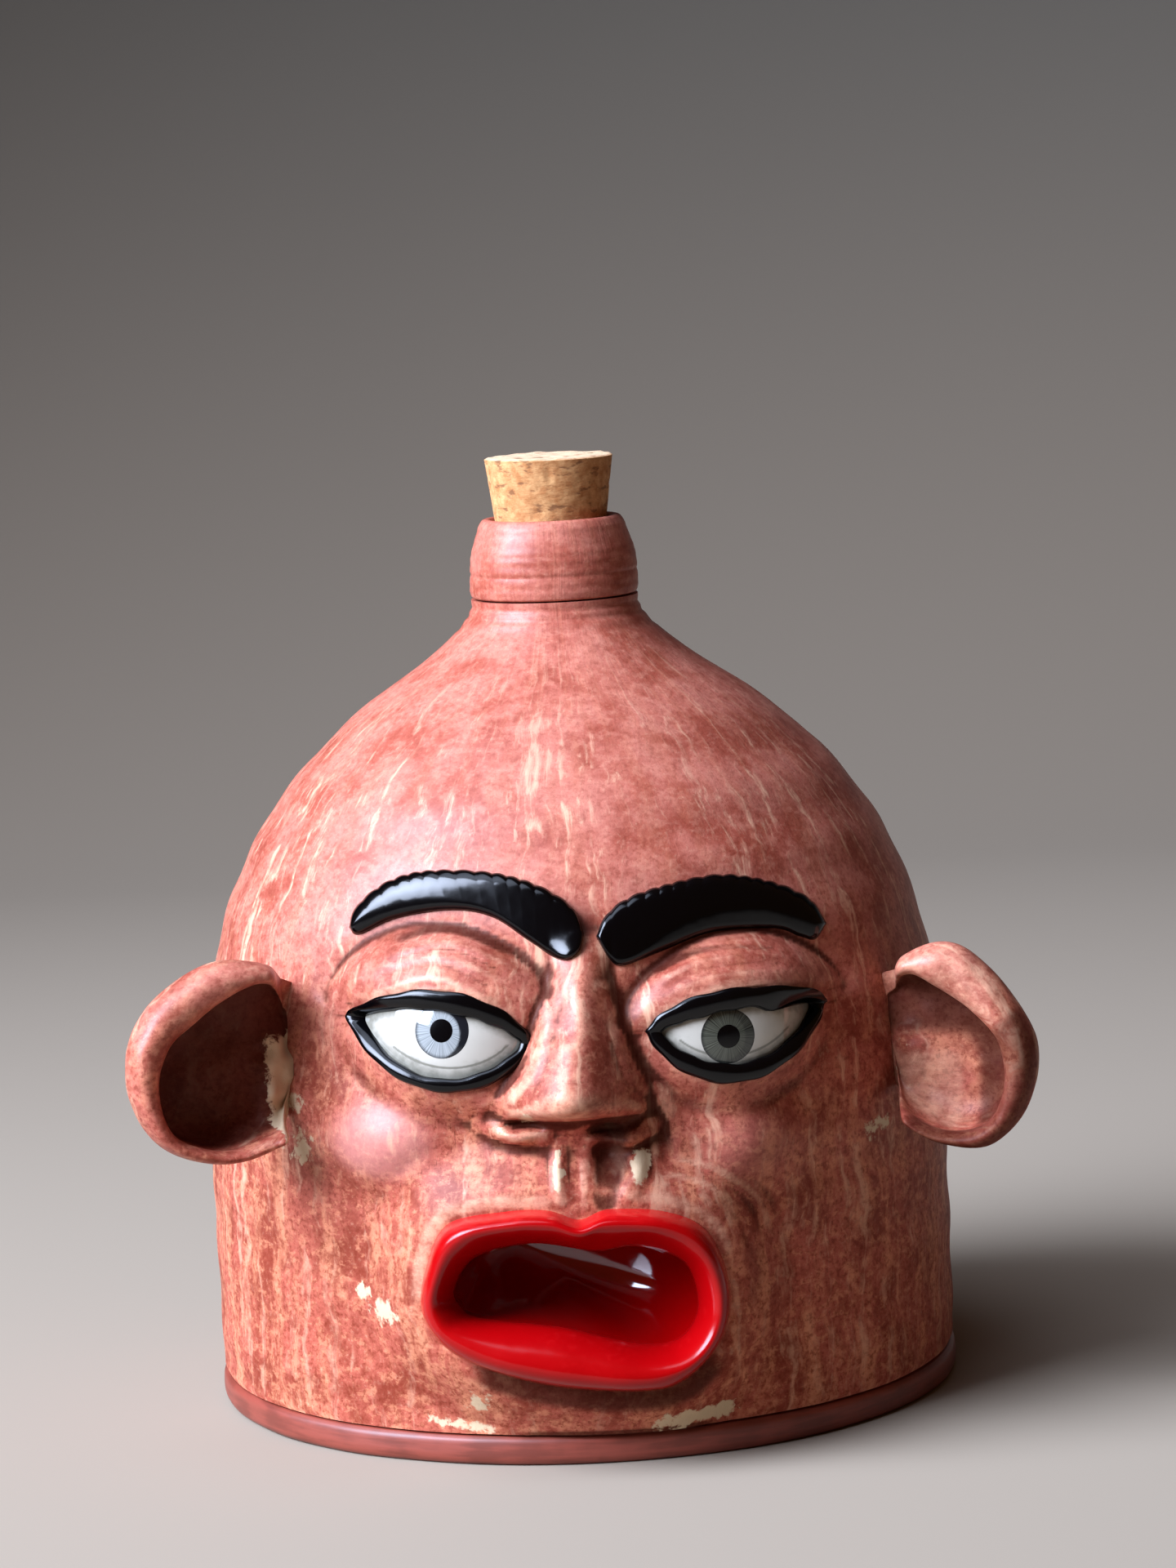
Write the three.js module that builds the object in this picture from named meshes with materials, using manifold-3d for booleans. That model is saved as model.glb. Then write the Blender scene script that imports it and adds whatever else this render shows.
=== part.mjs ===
// Face jug: a thrown stoneware jug with a face modelled on its front, closed by a cork.
// Millimetres, +Z up. The origin is the centre of the foot and the face looks along -Y.
// Left and right are the jug's own, so its left side is at +X.
import * as THREE from 'three';
import { mergeVertices } from 'three/addons/utils/BufferGeometryUtils.js';
import Module from 'manifold-3d';

const { degToRad, lerp, mapLinear, smoothstep } = THREE.MathUtils;
const wasm = await Module();
wasm.setup();

// Slip line left between two pieces of clay, and the cork's clearance in the neck
const slipGap = 0.3;
const corkGap = 0.3;

// Cork
const corkTopRadius = 12.5;
const corkTaper = 0.127;
const corkProud = 12;
const corkInserted = 16;
const corkChamfer = 0.6;

// Neck
const boreRadius = corkTopRadius - corkTaper * corkProud + corkGap;
const collarThickness = 5;
const rimThickness = 3;
const rimRound = 1.6;
const collarHeight = 15.5;
const collarBelly = 0.7;
const neckRadius = boreRadius + collarThickness;

// Thrown wall and dome
const bodyRadius = 72.3;
const wallThickness = 5;
const domeStart = 60.3;
const domePull = 61.4;
const shoulderAngle = degToRad(41.7);
const shoulderPull = 20.5;
const throatRise = 7;
const throatFlare = 3.9;
const neckSeat = 154.9;

// Base slab
const slabThickness = 5.6;
const slabProud = 0.2;
const slabBevel = 1.3;

// Edge left on clay that is smoothed down to the wall
const featherEdge = 0.8;

// Eyes: a glazed ball in the wall, with an inlaid iris and pupil
const ballRadius = 22;
const ballProud = 6;
const irisRadius = 5.1;
const irisDepth = 1.6;
const pupilRadius = 2.2;
const inlayGap = 0.15;
const lidRimRadius = 1.2;
const lidThickness = 2.4;
const lidCornerWidth = 2.2;
const almondPoint = 1.5;

// Each eye: the middle of its almond, its half width, rise and drop, and where it looks
const eyes = {
  left: {
    x: 29.8, z: 80.8, halfWidth: 14.6, rise: 4.6, drop: 8.6, tilt: degToRad(2.2),
    gazeX: 28.5, gazeZ: 78.9, upperLidWidth: 8.6, lowerLidWidth: 6.2, iris: 0x6c7263,
  },
  right: {
    x: -23.9, z: 81.4, halfWidth: 15.2, rise: 6.2, drop: 8.6, tilt: degToRad(-7.6),
    gazeX: -24, gazeZ: 82.6, upperLidWidth: 9.6, lowerLidWidth: 6.2, iris: 0x7f909c,
  },
};

// Brows: a line on the wall from the nose outwards, and the width and height of the strip
const browHeight = 3.6;
const browFlatness = 0.45;
const browTip = 0.3;
const browEnd = 6.5;
const brows = {
  left: { line: [[7.6, 95.6], [18, 100], [31, 101.9], [41, 99.2], [47, 95.4]], width: 9.4 },
  right: { line: [[0.4, 95.9], [-7.6, 102.6], [-20, 106.2], [-32.4, 104.2], [-40, 99]], width: 7.6 },
};

// Ears: cups with a rolled rim, swung forward, with the side next to the face pressed back into the wall
const earSwing = degToRad(20);
const earSeat = 1;
const earPress = 13;
const earBowlDepth = 9.5;
const earBackDepth = 14;
const earRoll = 6;
const earRollProud = 2.4;
const earLipInset = 1.1;
const earTopBroader = 0.1;
const ears = {
  left: { bearing: degToRad(46.2), z: 72.5, halfWidth: 18, halfHeight: 19.3, lean: degToRad(9) },
  right: { bearing: degToRad(-37.8), z: 76.6, halfWidth: 20.4, halfHeight: 18.7, lean: degToRad(6) },
};

// Nose: from the root between the brows down past the tip to the underside
const noseRootX = 2;
const noseRootZ = 93;
const noseBaseX = -1.7;
const noseBaseZ = 61.5;
const noseTipDrop = 23.5;
const noseTipProud = 14.5;
const noseRootProud = 2;
const noseRootHalfWidth = 3.4;
const noseBridgeHalfWidth = 6.2;
const noseTipBroader = 0.25;
const noseWingHalfWidth = 16.2;
const noseWingProud = 6.2;
const noseWingDrop = 15.5;
const noseWingLength = 10.5;
const noseUndercut = 0.72;
const nostrilRadius = 2.5;
const nostrilLength = 7.5;
const nostrilSpacing = 18.4;

// Cheeks
const cheekHeight = 4.2;
const cheekTipShare = 0.2;
const cheekEndShare = 0.5;
const cheeks = {
  left: { x: 31.5, z: 57.5, halfWidth: 12, halfHeight: 9.5 },
  right: { x: -36.5, z: 61, halfWidth: 12, halfHeight: 9.5 },
};

// Mouth: the line along the middle of the lips, then the lips, pad and pocket that follow it
const mouthX = -1.4;
const mouthZ = 33.2;
const mouthHalfWidth = 25.2;
const mouthHalfHeight = 12.7;
const mouthSquareness = 0.78;
const mouthTilt = degToRad(-4.5);
const bowDip = 1.6;
const bowSpread = 0.22;
const lipHalfWidthMiddle = 4.3;
const lipHalfWidthCorner = 2.9;
const lipHeight = 7.4;
const lipFullness = 0.8;
const muzzleMargin = 9.5;
const muzzleShelf = 5;
const muzzleHeight = 5.6;
const cupDepth = 25;
const cupThickness = 3;
const cupBottom = 0.15;

// Facets
const bodySegments = 48;
const domeSteps = 10;
const throatSteps = 4;
const insideSteps = 7;
const finePathSteps = 240;
const collarSegments = 32;
const earSegments = 24;
const eyeSegments = 22;
const coilSteps = 26;
const coilSides = 6;
const lidSteps = 10;
const lidAcross = 4;
const browSteps = 15;
const browAcross = 6;
const noseSteps = 13;
const noseAcross = 12;
const cheekSteps = 11;
const cheekAcross = 5;
const mouthSegments = 28;
const muzzleAcross = 5;
const lipSteps = 20;
const lipSides = 9;
const cupSteps = 5;
const curveSteps = 3;
const ballSteps = 6;
const inlaySteps = 2;
const nostrilSegments = 12;
const nostrilRings = 8;

// The values of a function at even steps from 0 to 1
function steps(count, use) {
  return Array.from({ length: count + 1 }, (_, i) => use(i / count));
}

function anglesRound(count) {
  return steps(count, (t) => t * 2 * Math.PI).slice(0, -1);
}

// Turns a closed three.js geometry into a solid that can be joined and cut
function solidOf(geometry) {
  const bare = new THREE.BufferGeometry();
  bare.setAttribute('position', geometry.getAttribute('position'));
  bare.setIndex(geometry.index.clone());
  const merged = mergeVertices(bare);
  const corners = [];
  const index = merged.index.array;
  for (let i = 0; i < index.length; i += 3) {
    const [a, b, c] = index.slice(i, i + 3);
    if (a !== b && b !== c && c !== a) corners.push(a, b, c);
  }
  const build = (triVerts) => new wasm.Manifold(new wasm.Mesh({
    numProp: 3,
    vertProperties: new Float32Array(merged.getAttribute('position').array),
    triVerts: new Uint32Array(triVerts),
  }));
  const solid = build(corners);
  return solid.volume() > 0 ? solid : build(corners.reverse());
}

function geometryOf(solid) {
  const mesh = solid.getMesh();
  const geometry = new THREE.BufferGeometry();
  geometry.setAttribute('position', new THREE.BufferAttribute(mesh.vertProperties, 3));
  geometry.setIndex(new THREE.BufferAttribute(mesh.triVerts, 1));
  geometry.computeVertexNormals();
  return geometry;
}

// The largest body of a cut piece, without the crumbs that a cut can leave
function mainBody(solid) {
  return solid.decompose().reduce((best, body) => (body.volume() > best.volume() ? body : best));
}

// A piece grown along its normals, far enough to keep the slip line at its square edges too
function swell(solid) {
  const grown = geometryOf(solid);
  const place = grown.getAttribute('position');
  const normal = grown.getAttribute('normal');
  const distance = slipGap * Math.SQRT2;
  for (let i = 0; i < place.count; i += 1) {
    const moved = new THREE.Vector3().fromBufferAttribute(normal, i).multiplyScalar(distance)
      .add(new THREE.Vector3().fromBufferAttribute(place, i));
    place.setXYZ(i, moved.x, moved.y, moved.z);
  }
  return solidOf(grown);
}

// Cuts a piece back from its neighbours, leaving the slip line
function fitAgainst(solid, ...neighbours) {
  return mainBody(neighbours.reduce((left, neighbour) => left.subtract(swell(neighbour)), solid));
}

// A profile of [radius, height] turned about +Z
function revolve(profile, segments) {
  const points = profile.map(([radius, height]) => new THREE.Vector2(radius, height));
  return new THREE.LatheGeometry(points, segments).rotateX(Math.PI / 2);
}

// A skin over sections with the same number of points, capped unless it runs in a loop
function loft(sections, loop = false) {
  const count = sections[0].length;
  const points = sections.flat();
  const corners = [];
  const spans = loop ? sections.length : sections.length - 1;
  for (let i = 0; i < spans; i += 1) {
    const here = i * count;
    const next = ((i + 1) % sections.length) * count;
    for (let j = 0; j < count; j += 1) {
      const k = (j + 1) % count;
      corners.push(here + j, next + j, next + k, here + j, next + k, here + k);
    }
  }
  const cap = (section, first, flip) => {
    const middle = new THREE.Vector3();
    section.forEach((point) => middle.addScaledVector(point, 1 / count));
    points.push(middle);
    for (let j = 0; j < count; j += 1) {
      const edge = [first + j, first + ((j + 1) % count)];
      corners.push(points.length - 1, ...(flip ? edge.reverse() : edge));
    }
  };
  if (!loop) {
    cap(sections[0], 0, false);
    cap(sections[spans], spans * count, true);
  }
  return new THREE.BufferGeometry().setFromPoints(points).setIndex(corners);
}

// The outline of the wall, from the slab to the neck
const wallFoot = slabThickness + slipGap;
const shoulder = new THREE.Vector2(neckRadius + throatFlare, neckSeat - throatRise);
const wallOutline = new THREE.Path()
  .moveTo(bodyRadius, wallFoot)
  .lineTo(bodyRadius, domeStart)
  .bezierCurveTo(
    bodyRadius, domeStart + domePull,
    shoulder.x + shoulderPull * Math.cos(shoulderAngle),
    shoulder.y - shoulderPull * Math.sin(shoulderAngle),
    shoulder.x, shoulder.y,
  )
  .quadraticCurveTo(
    neckRadius, shoulder.y + throatFlare * Math.tan(shoulderAngle),
    neckRadius, neckSeat,
  );

// Points up the wall: one straight run, then the dome and the throat in steps of their own
function wallPoints(domeCount, throatCount) {
  const [straight, dome, throat] = wallOutline.curves;
  return [straight.getPoint(0), ...dome.getPoints(domeCount), ...throat.getPoints(throatCount).slice(1)];
}

// The same points moved out of the wall by a distance, or into it, as [radius, height]
function offsetWall(points, distance) {
  return points.map((point, i) => {
    const before = points[Math.max(i - 1, 0)];
    const after = points[Math.min(i + 1, points.length - 1)];
    const up = after.clone().sub(before).normalize();
    return [point.x + up.y * distance, point.y - up.x * distance];
  });
}

const finePath = wallPoints(finePathSteps, finePathSteps);

// Radius of the wall at a height, and the direction up it there
function wallAt(z) {
  const found = finePath.findIndex((point) => point.y >= z);
  const i = Math.max(found < 0 ? finePath.length - 1 : found, 1);
  const [low, high] = [finePath[i - 1], finePath[i]];
  return {
    radius: mapLinear(z, low.y, high.y, low.x, high.x),
    up: high.clone().sub(low).normalize(),
  };
}

// A point at [x, z] in front of the wall, lifted off it by a distance
function onWall(x, z, lift) {
  const { radius, up } = wallAt(z);
  const out = radius + lift * up.y;
  const side = Math.asin(x / out);
  return new THREE.Vector3(x, -out * Math.cos(side), z - lift * up.x);
}

function wallNormal(x, z) {
  const { radius, up } = wallAt(z);
  const side = Math.asin(x / radius);
  return new THREE.Vector3(up.y * Math.sin(side), -up.y * Math.cos(side), -up.x);
}

// How far a point stands off the wall, measured along the wall's normal at [x, z]
function liftOf(point, x, z) {
  return point.clone().sub(onWall(x, z, 0)).dot(wallNormal(x, z));
}

// The space that the jug's body takes up, grown by the slip line, for what is pressed on to it
function makeBodySpace() {
  const skin = offsetWall(wallPoints(domeSteps, throatSteps), slipGap);
  return solidOf(revolve([[0, 0], [skin[0][0], 0], ...skin, [0, neckSeat]], bodySegments));
}

// A section of clay lying on the wall: over its crest of [x, z, lift], then back along the wall
function laidSection(crest) {
  const top = crest.map(([x, z, lift]) => onWall(x, z, lift));
  const seat = crest.map(([x, z]) => onWall(x, z, slipGap)).reverse();
  return [...top, ...seat];
}

// A strip along a line on the wall; half width and crown height vary along it.
// The crown is a full arch at flatness 1 and flatter on top at less.
function strip(line, halfWidth, crown, flatness, stepCount, acrossCount) {
  return solidOf(loft(steps(stepCount, (t) => {
    const middle = line.getPoint(t);
    const along = line.getTangent(t);
    return laidSection(steps(acrossCount, (u) => {
      const across = 2 * u - 1;
      const reach = halfWidth(t) * across;
      const arch = Math.max(Math.cos(across * Math.PI / 2), 0) ** flatness;
      return [
        middle.x - along.y * reach,
        middle.y + along.x * reach,
        slipGap + featherEdge + crown(t) * arch,
      ];
    }));
  })));
}

// Rounded ends for a strip: 1 along its middle, falling to a blunt tip over a share of its length
function roundEnds(t, endShare, tip) {
  const fromEnd = Math.min(Math.min(t, 1 - t) / endShare, 1);
  return lerp(tip, 1, Math.sqrt(1 - (1 - fromEnd) ** 2));
}

function makeBaseSlab() {
  const radius = bodyRadius + slabProud;
  return solidOf(revolve([
    [0, 0],
    [radius - slabBevel, 0],
    [radius, slabBevel],
    [radius, slabThickness - slabProud],
    [radius - slabProud, slabThickness],
    [0, slabThickness],
  ], bodySegments));
}

// The wall, open at the throat and the foot, with the mouth's pocket let through it
function makeJugWall(pocket) {
  const outside = offsetWall(wallPoints(domeSteps, throatSteps), 0);
  const inside = offsetWall(wallPoints(insideSteps, throatSteps), -wallThickness)
    .map(([radius, height]) => [Math.max(radius, boreRadius), Math.min(height, neckSeat)]);
  const shell = solidOf(revolve([...outside, ...inside.reverse(), outside[0]], bodySegments));
  return fitAgainst(shell, pocket);
}

function makeCollar() {
  const foot = neckSeat + slipGap;
  const rim = neckSeat + collarHeight;
  const rimRadius = boreRadius + rimThickness;
  const outline = new THREE.Path()
    .moveTo(boreRadius, foot)
    .lineTo(neckRadius, foot)
    .quadraticCurveTo(neckRadius + collarBelly, foot + collarHeight / 2, rimRadius, rim - rimRound)
    .quadraticCurveTo(rimRadius, rim, boreRadius + rimThickness / 2, rim)
    .quadraticCurveTo(boreRadius, rim, boreRadius, rim - rimRound)
    .lineTo(boreRadius, foot);
  return solidOf(revolve(outline.getPoints(curveSteps).map((point) => point.toArray()), collarSegments));
}

function makeCork() {
  const rim = neckSeat + collarHeight;
  const top = rim + corkProud;
  const bottom = rim - corkInserted;
  const bottomRadius = corkTopRadius - corkTaper * (top - bottom);
  return solidOf(revolve([
    [0, bottom],
    [bottomRadius - corkChamfer, bottom],
    [bottomRadius, bottom + corkChamfer],
    [corkTopRadius, top - corkChamfer],
    [corkTopRadius - corkChamfer, top],
    [0, top],
  ], collarSegments));
}

// A cup with a rolled rim, broader at the top, whose inner side runs back into the wall
function makeEar(ear, body) {
  const side = Math.sign(ear.bearing);
  const bowl = ear.halfWidth - earRoll;
  const crest = bowl + earRoll / 2;
  const outline = new THREE.Path()
    .moveTo(0, -earBowlDepth)
    .quadraticCurveTo(bowl, -earBowlDepth, bowl + earLipInset, -earRollProud / 2)
    .quadraticCurveTo(bowl + earLipInset, earRollProud, crest, earRollProud)
    .quadraticCurveTo(ear.halfWidth, earRollProud, ear.halfWidth, -earRollProud)
    .quadraticCurveTo(crest, -earBackDepth, 0, -earBackDepth);
  const cup = revolve(outline.getPoints(curveSteps).map((point) => point.toArray()), earSegments);
  const place = cup.getAttribute('position');
  for (let i = 0; i < place.count; i += 1) {
    const height = place.getY(i) / ear.halfWidth;
    const across = place.getX(i) * (1 + earTopBroader * height);
    const inwards = Math.max(-across / ear.halfWidth, 0);
    place.setXYZ(i, across, height * ear.halfHeight, place.getZ(i) - earPress * inwards ** 3);
  }
  const out = new THREE.Vector3(side * Math.cos(earSwing), -Math.sin(earSwing), 0);
  const facing = new THREE.Vector3(-side * Math.sin(earSwing), -Math.cos(earSwing), 0);
  const { radius } = wallAt(ear.z);
  const middle = new THREE.Vector3(radius * Math.sin(ear.bearing), -radius * Math.cos(ear.bearing), ear.z)
    .addScaledVector(out, ear.halfWidth - earSeat);
  cup.rotateZ(ear.lean);
  cup.applyMatrix4(new THREE.Matrix4().makeBasis(out, new THREE.Vector3(0, 0, 1), facing));
  cup.translate(middle.x, middle.y, middle.z);
  return mainBody(solidOf(cup).subtract(body));
}

function makeBrow(brow) {
  const line = new THREE.SplineCurve(brow.line.map(([x, z]) => new THREE.Vector2(x, z)));
  const ends = (t) => roundEnds(t, browEnd / line.getLength(), browTip);
  return strip(
    line,
    (t) => brow.width / 2 * ends(t),
    (t) => (browHeight - featherEdge) * ends(t),
    browFlatness,
    browSteps,
    browAcross,
  );
}

// The almond opening of an eye, as [x, z] at an angle round it and a margin outside it
function almond(eye, angle, margin) {
  const reach = (eye.halfWidth + margin) * Math.cos(angle);
  const sine = Math.sin(angle);
  const height = (sine > 0 ? eye.rise : eye.drop) + margin;
  const away = Math.sign(sine) * height * Math.abs(sine) ** almondPoint;
  return [
    eye.x + reach * Math.cos(eye.tilt) - away * Math.sin(eye.tilt),
    eye.z + reach * Math.sin(eye.tilt) + away * Math.cos(eye.tilt),
  ];
}

function ballCentre(eye) {
  return onWall(eye.x, eye.z, 0).addScaledVector(wallNormal(eye.x, eye.z), ballProud - ballRadius);
}

// The front of an eye's ball at [x, z], lifted off it by a distance
function onBall(eye, x, z, lift) {
  const centre = ballCentre(eye);
  const across = Math.hypot(x - centre.x, z - centre.z);
  const depth = Math.sqrt(Math.max(ballRadius ** 2 - across ** 2, 0));
  const front = new THREE.Vector3(x, centre.y - depth, z);
  return front.addScaledVector(front.clone().sub(centre).normalize(), lift);
}

// Turns a profile about the eye's line of sight; height 0 is the ball's centre
function turnedToGaze(eye, profile) {
  const centre = ballCentre(eye);
  const gaze = onBall(eye, eye.gazeX, eye.gazeZ, 0).sub(centre).normalize();
  const turn = new THREE.Quaternion().setFromUnitVectors(new THREE.Vector3(0, 0, 1), gaze);
  return solidOf(revolve(profile, eyeSegments)
    .applyMatrix4(new THREE.Matrix4().compose(centre, turn, new THREE.Vector3(1, 1, 1))));
}

// Points on the ball's surface between two radii from the line of sight
function ballArc(fromRadius, toRadius, count) {
  const [first, last] = [fromRadius, toRadius].map((radius) => Math.asin(radius / ballRadius));
  return steps(count, (t) => {
    const angle = lerp(first, last, t);
    return [ballRadius * Math.sin(angle), ballRadius * Math.cos(angle)];
  });
}

// The whole front of the ball, for what has to clear it
function makeBallSpace(eye) {
  return turnedToGaze(eye, [...ballArc(0, ballRadius, ballSteps), [0, 0]]);
}

function makeEyeball(eye, body) {
  const floor = ballRadius - irisDepth;
  const ball = turnedToGaze(eye, [
    [0, floor], [irisRadius, floor], ...ballArc(irisRadius, ballRadius, ballSteps), [0, 0],
  ]);
  return mainBody(ball.subtract(body));
}

function makeIris(eye) {
  const floor = ballRadius - irisDepth + inlayGap;
  const hole = pupilRadius + inlayGap;
  const edge = irisRadius - inlayGap;
  return turnedToGaze(eye, [[hole, floor], ...ballArc(hole, edge, inlaySteps), [edge, floor], [hole, floor]]);
}

function makePupil(eye) {
  const floor = ballRadius - irisDepth + inlayGap;
  return turnedToGaze(eye, [...ballArc(0, pupilRadius, inlaySteps), [pupilRadius, floor], [0, floor]]);
}

// A coil laid round the opening of the eye, on the ball and just clear of the wall
function makeLidRim(eye) {
  const clear = lidRimRadius + slipGap;
  return solidOf(loft(anglesRound(coilSteps).map((angle) => {
    const [x, z] = almond(eye, angle, 0);
    const [outerX, outerZ] = almond(eye, angle, 1);
    const out = new THREE.Vector3(outerX - x, 0, outerZ - z).normalize();
    const front = wallNormal(x, z);
    front.addScaledVector(out, -front.dot(out)).normalize();
    const middle = onBall(eye, x, z, clear);
    middle.addScaledVector(front, Math.max(clear - liftOf(middle, x, z), 0));
    return anglesRound(coilSides).map((turn) => middle.clone()
      .addScaledVector(out, lidRimRadius * Math.cos(turn))
      .addScaledVector(front, lidRimRadius * Math.sin(turn)));
  }), true));
}

// A lid from one corner of the eye to the other, from beside the coil out to the wall
function makeLid(eye, isUpper, lidWidth) {
  const nearEdge = lidRimRadius + slipGap * Math.SQRT2;
  const corner = nearEdge / eye.halfWidth;
  return solidOf(loft(steps(lidSteps, (t) => {
    const turn = lerp(corner, Math.PI - corner, t);
    const angle = isUpper ? turn : -turn;
    const width = lerp(lidCornerWidth, lidWidth, Math.sin(turn));
    const [edgeX, edgeZ] = almond(eye, angle, nearEdge);
    const edge = onBall(eye, edgeX, edgeZ, lidThickness);
    const edgeLift = Math.max(liftOf(edge, edgeX, edgeZ), lidThickness);
    return laidSection(steps(lidAcross, (u) => {
      const [x, z] = almond(eye, angle, nearEdge + width * u);
      return [x, z, slipGap + lerp(edgeLift, featherEdge, 1 - Math.cos(u * Math.PI / 2))];
    }));
  })));
}

// The nose from its root down to its underside, as sections across the wall, with its nostrils
function makeNose() {
  const length = noseRootZ - noseBaseZ;
  const tipAt = noseTipDrop / length;
  const body = solidOf(loft(steps(noseSteps, (t) => {
    const z = lerp(noseRootZ, noseBaseZ, t);
    const x = lerp(noseRootX, noseBaseX, t);
    const above = Math.min(t / tipAt, 1);
    const below = Math.max((t - tipAt) / (1 - tipAt), 0) ** 2;
    const flare = smoothstep(t * length, noseWingDrop, noseWingDrop + noseWingLength);
    const bridge = lerp(noseRootHalfWidth, noseBridgeHalfWidth, above);
    const halfWidth = lerp(bridge, noseWingHalfWidth, flare);
    const proud = lerp(noseRootProud, noseTipProud, above) * (1 - noseUndercut * below);
    const wing = noseWingProud * flare * (1 - noseUndercut * below / 2);
    const ridge = bridge * (1 + noseTipBroader * flare) / halfWidth;
    const wingHalf = Math.max(1 - ridge, Number.EPSILON) / 2;
    return laidSection(steps(noseAcross, (u) => {
      const across = 2 * u - 1;
      const crest = proud * Math.exp(-((across / ridge) ** 2));
      const fromWing = (Math.abs(across) - 1 + wingHalf) / wingHalf;
      const ala = wing * Math.sqrt(Math.max(1 - fromWing ** 2, 0));
      return [x + halfWidth * across, z, slipGap + featherEdge + Math.max(crest, ala)];
    }));
  })));
  return mainBody([-1, 1].reduce((left, side) => {
    const at = onWall(noseBaseX + side * nostrilSpacing / 2, noseBaseZ + nostrilRadius / 2, noseWingProud);
    const nostril = new THREE.SphereGeometry(nostrilRadius, nostrilSegments, nostrilRings)
      .scale(nostrilLength / (2 * nostrilRadius), 1, 1)
      .translate(at.x, at.y, at.z);
    return left.subtract(solidOf(nostril));
  }, body));
}

function makeCheek(cheek) {
  const line = new THREE.LineCurve(
    new THREE.Vector2(cheek.x - cheek.halfWidth, cheek.z),
    new THREE.Vector2(cheek.x + cheek.halfWidth, cheek.z),
  );
  const ends = (t) => roundEnds(t, cheekEndShare, cheekTipShare);
  return strip(
    line,
    (t) => cheek.halfHeight * ends(t),
    (t) => (cheekHeight - featherEdge) * ends(t),
    1,
    cheekSteps,
    cheekAcross,
  );
}

// The middle line of the lips, as [x, z] at an angle round the mouth and a margin outside it
function mouthLine(angle, margin) {
  const [cosine, sine] = [Math.cos(angle), Math.sin(angle)];
  const fromTop = Math.abs(angle - Math.PI / 2) / bowSpread;
  const bow = bowDip * Math.exp(-(fromTop ** 2));
  const x = Math.sign(cosine) * (mouthHalfWidth + margin) * Math.abs(cosine) ** mouthSquareness;
  const z = Math.sign(sine) * (mouthHalfHeight + margin) * Math.abs(sine) ** mouthSquareness - bow;
  return [
    mouthX + x * Math.cos(mouthTilt) - z * Math.sin(mouthTilt),
    mouthZ + x * Math.sin(mouthTilt) + z * Math.cos(mouthTilt),
  ];
}

const lipSeat = slipGap + muzzleHeight;

// The pad round the mouth: a level shelf for the lips, then a slope down to the wall
function makeMuzzle() {
  return solidOf(loft(anglesRound(mouthSegments).map((angle) => laidSection(steps(muzzleAcross, (u) => {
    const margin = lerp(slipGap * Math.SQRT2, muzzleMargin, u);
    const slope = smoothstep(margin, muzzleShelf, muzzleMargin);
    return [...mouthLine(angle, margin), lerp(lipSeat, slipGap + featherEdge, slope)];
  }))), true));
}

// The mouth's pocket or its hollow: rings round the mouth from the lips in to a rounded bottom
function pocketSkin(margin, front, depth) {
  return loft(steps(cupSteps, (t) => {
    const size = Math.max(Math.sqrt(Math.cos(t * Math.PI / 2)), cupBottom);
    const lift = lerp(front, -depth, Math.sin(t * Math.PI / 2));
    return anglesRound(mouthSegments).map((angle) => {
      const [x, z] = mouthLine(angle, margin);
      return onWall(lerp(mouthX, x, size), lerp(mouthZ, z, size), lift);
    });
  }));
}

function makePocket() {
  return solidOf(pocketSkin(0, lipSeat, cupDepth));
}

function makeMouthCup(pocket) {
  const hollow = pocketSkin(-cupThickness, lipSeat + slipGap, cupDepth - cupThickness);
  return mainBody(pocket.subtract(solidOf(hollow)));
}

// One lip: a roll round half of the mouth, seated on the muzzle and the edge of the pocket
function makeLip(isUpper) {
  const seam = slipGap / (2 * mouthHalfWidth);
  const start = isUpper ? 0 : Math.PI;
  return solidOf(loft(steps(lipSteps, (t) => {
    const angle = start + lerp(seam, Math.PI - seam, t);
    const reach = lerp(lipHalfWidthCorner, lipHalfWidthMiddle, Math.abs(Math.sin(angle)));
    return steps(lipSides, (u) => {
      const [x, z] = mouthLine(angle, reach * Math.cos(u * Math.PI));
      const arch = Math.max(Math.sin(u * Math.PI), 0) ** lipFullness;
      return onWall(x, z, lipSeat + slipGap + lipHeight * arch);
    });
  })));
}

// Finishes
const finishes = {
  clay: { color: 0x8a4a3a, roughness: 0.6 },
  slab: { color: 0x8a4630, roughness: 0.55 },
  blackGlaze: { color: 0x0b0c10, roughness: 0.12 },
  redGlaze: { color: 0xb01018, roughness: 0.12 },
  whiteGlaze: { color: 0xe9e6dc, roughness: 0.1 },
  cork: { color: 0xb98a54, roughness: 0.85 },
};

const jug = new THREE.Group();

function addPiece(name, solid, finish) {
  const material = new THREE.MeshStandardMaterial({ ...finish, metalness: 0 });
  const mesh = new THREE.Mesh(geometryOf(solid), material);
  mesh.name = name;
  jug.add(mesh);
}

const body = makeBodySpace();
const pocket = makePocket();
const nose = makeNose();
const muzzle = makeMuzzle();

addPiece('base_slab', makeBaseSlab(), finishes.slab);
addPiece('jug_wall', makeJugWall(pocket), finishes.clay);
addPiece('neck_collar', makeCollar(), finishes.clay);
addPiece('cork_stopper', makeCork(), finishes.cork);
addPiece('nose', nose, finishes.clay);
addPiece('muzzle', fitAgainst(muzzle, nose), finishes.clay);
addPiece('upper_lip', fitAgainst(makeLip(true), nose), finishes.redGlaze);
addPiece('lower_lip', makeLip(false), finishes.redGlaze);
addPiece('mouth_cup', makeMouthCup(pocket), finishes.redGlaze);

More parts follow.
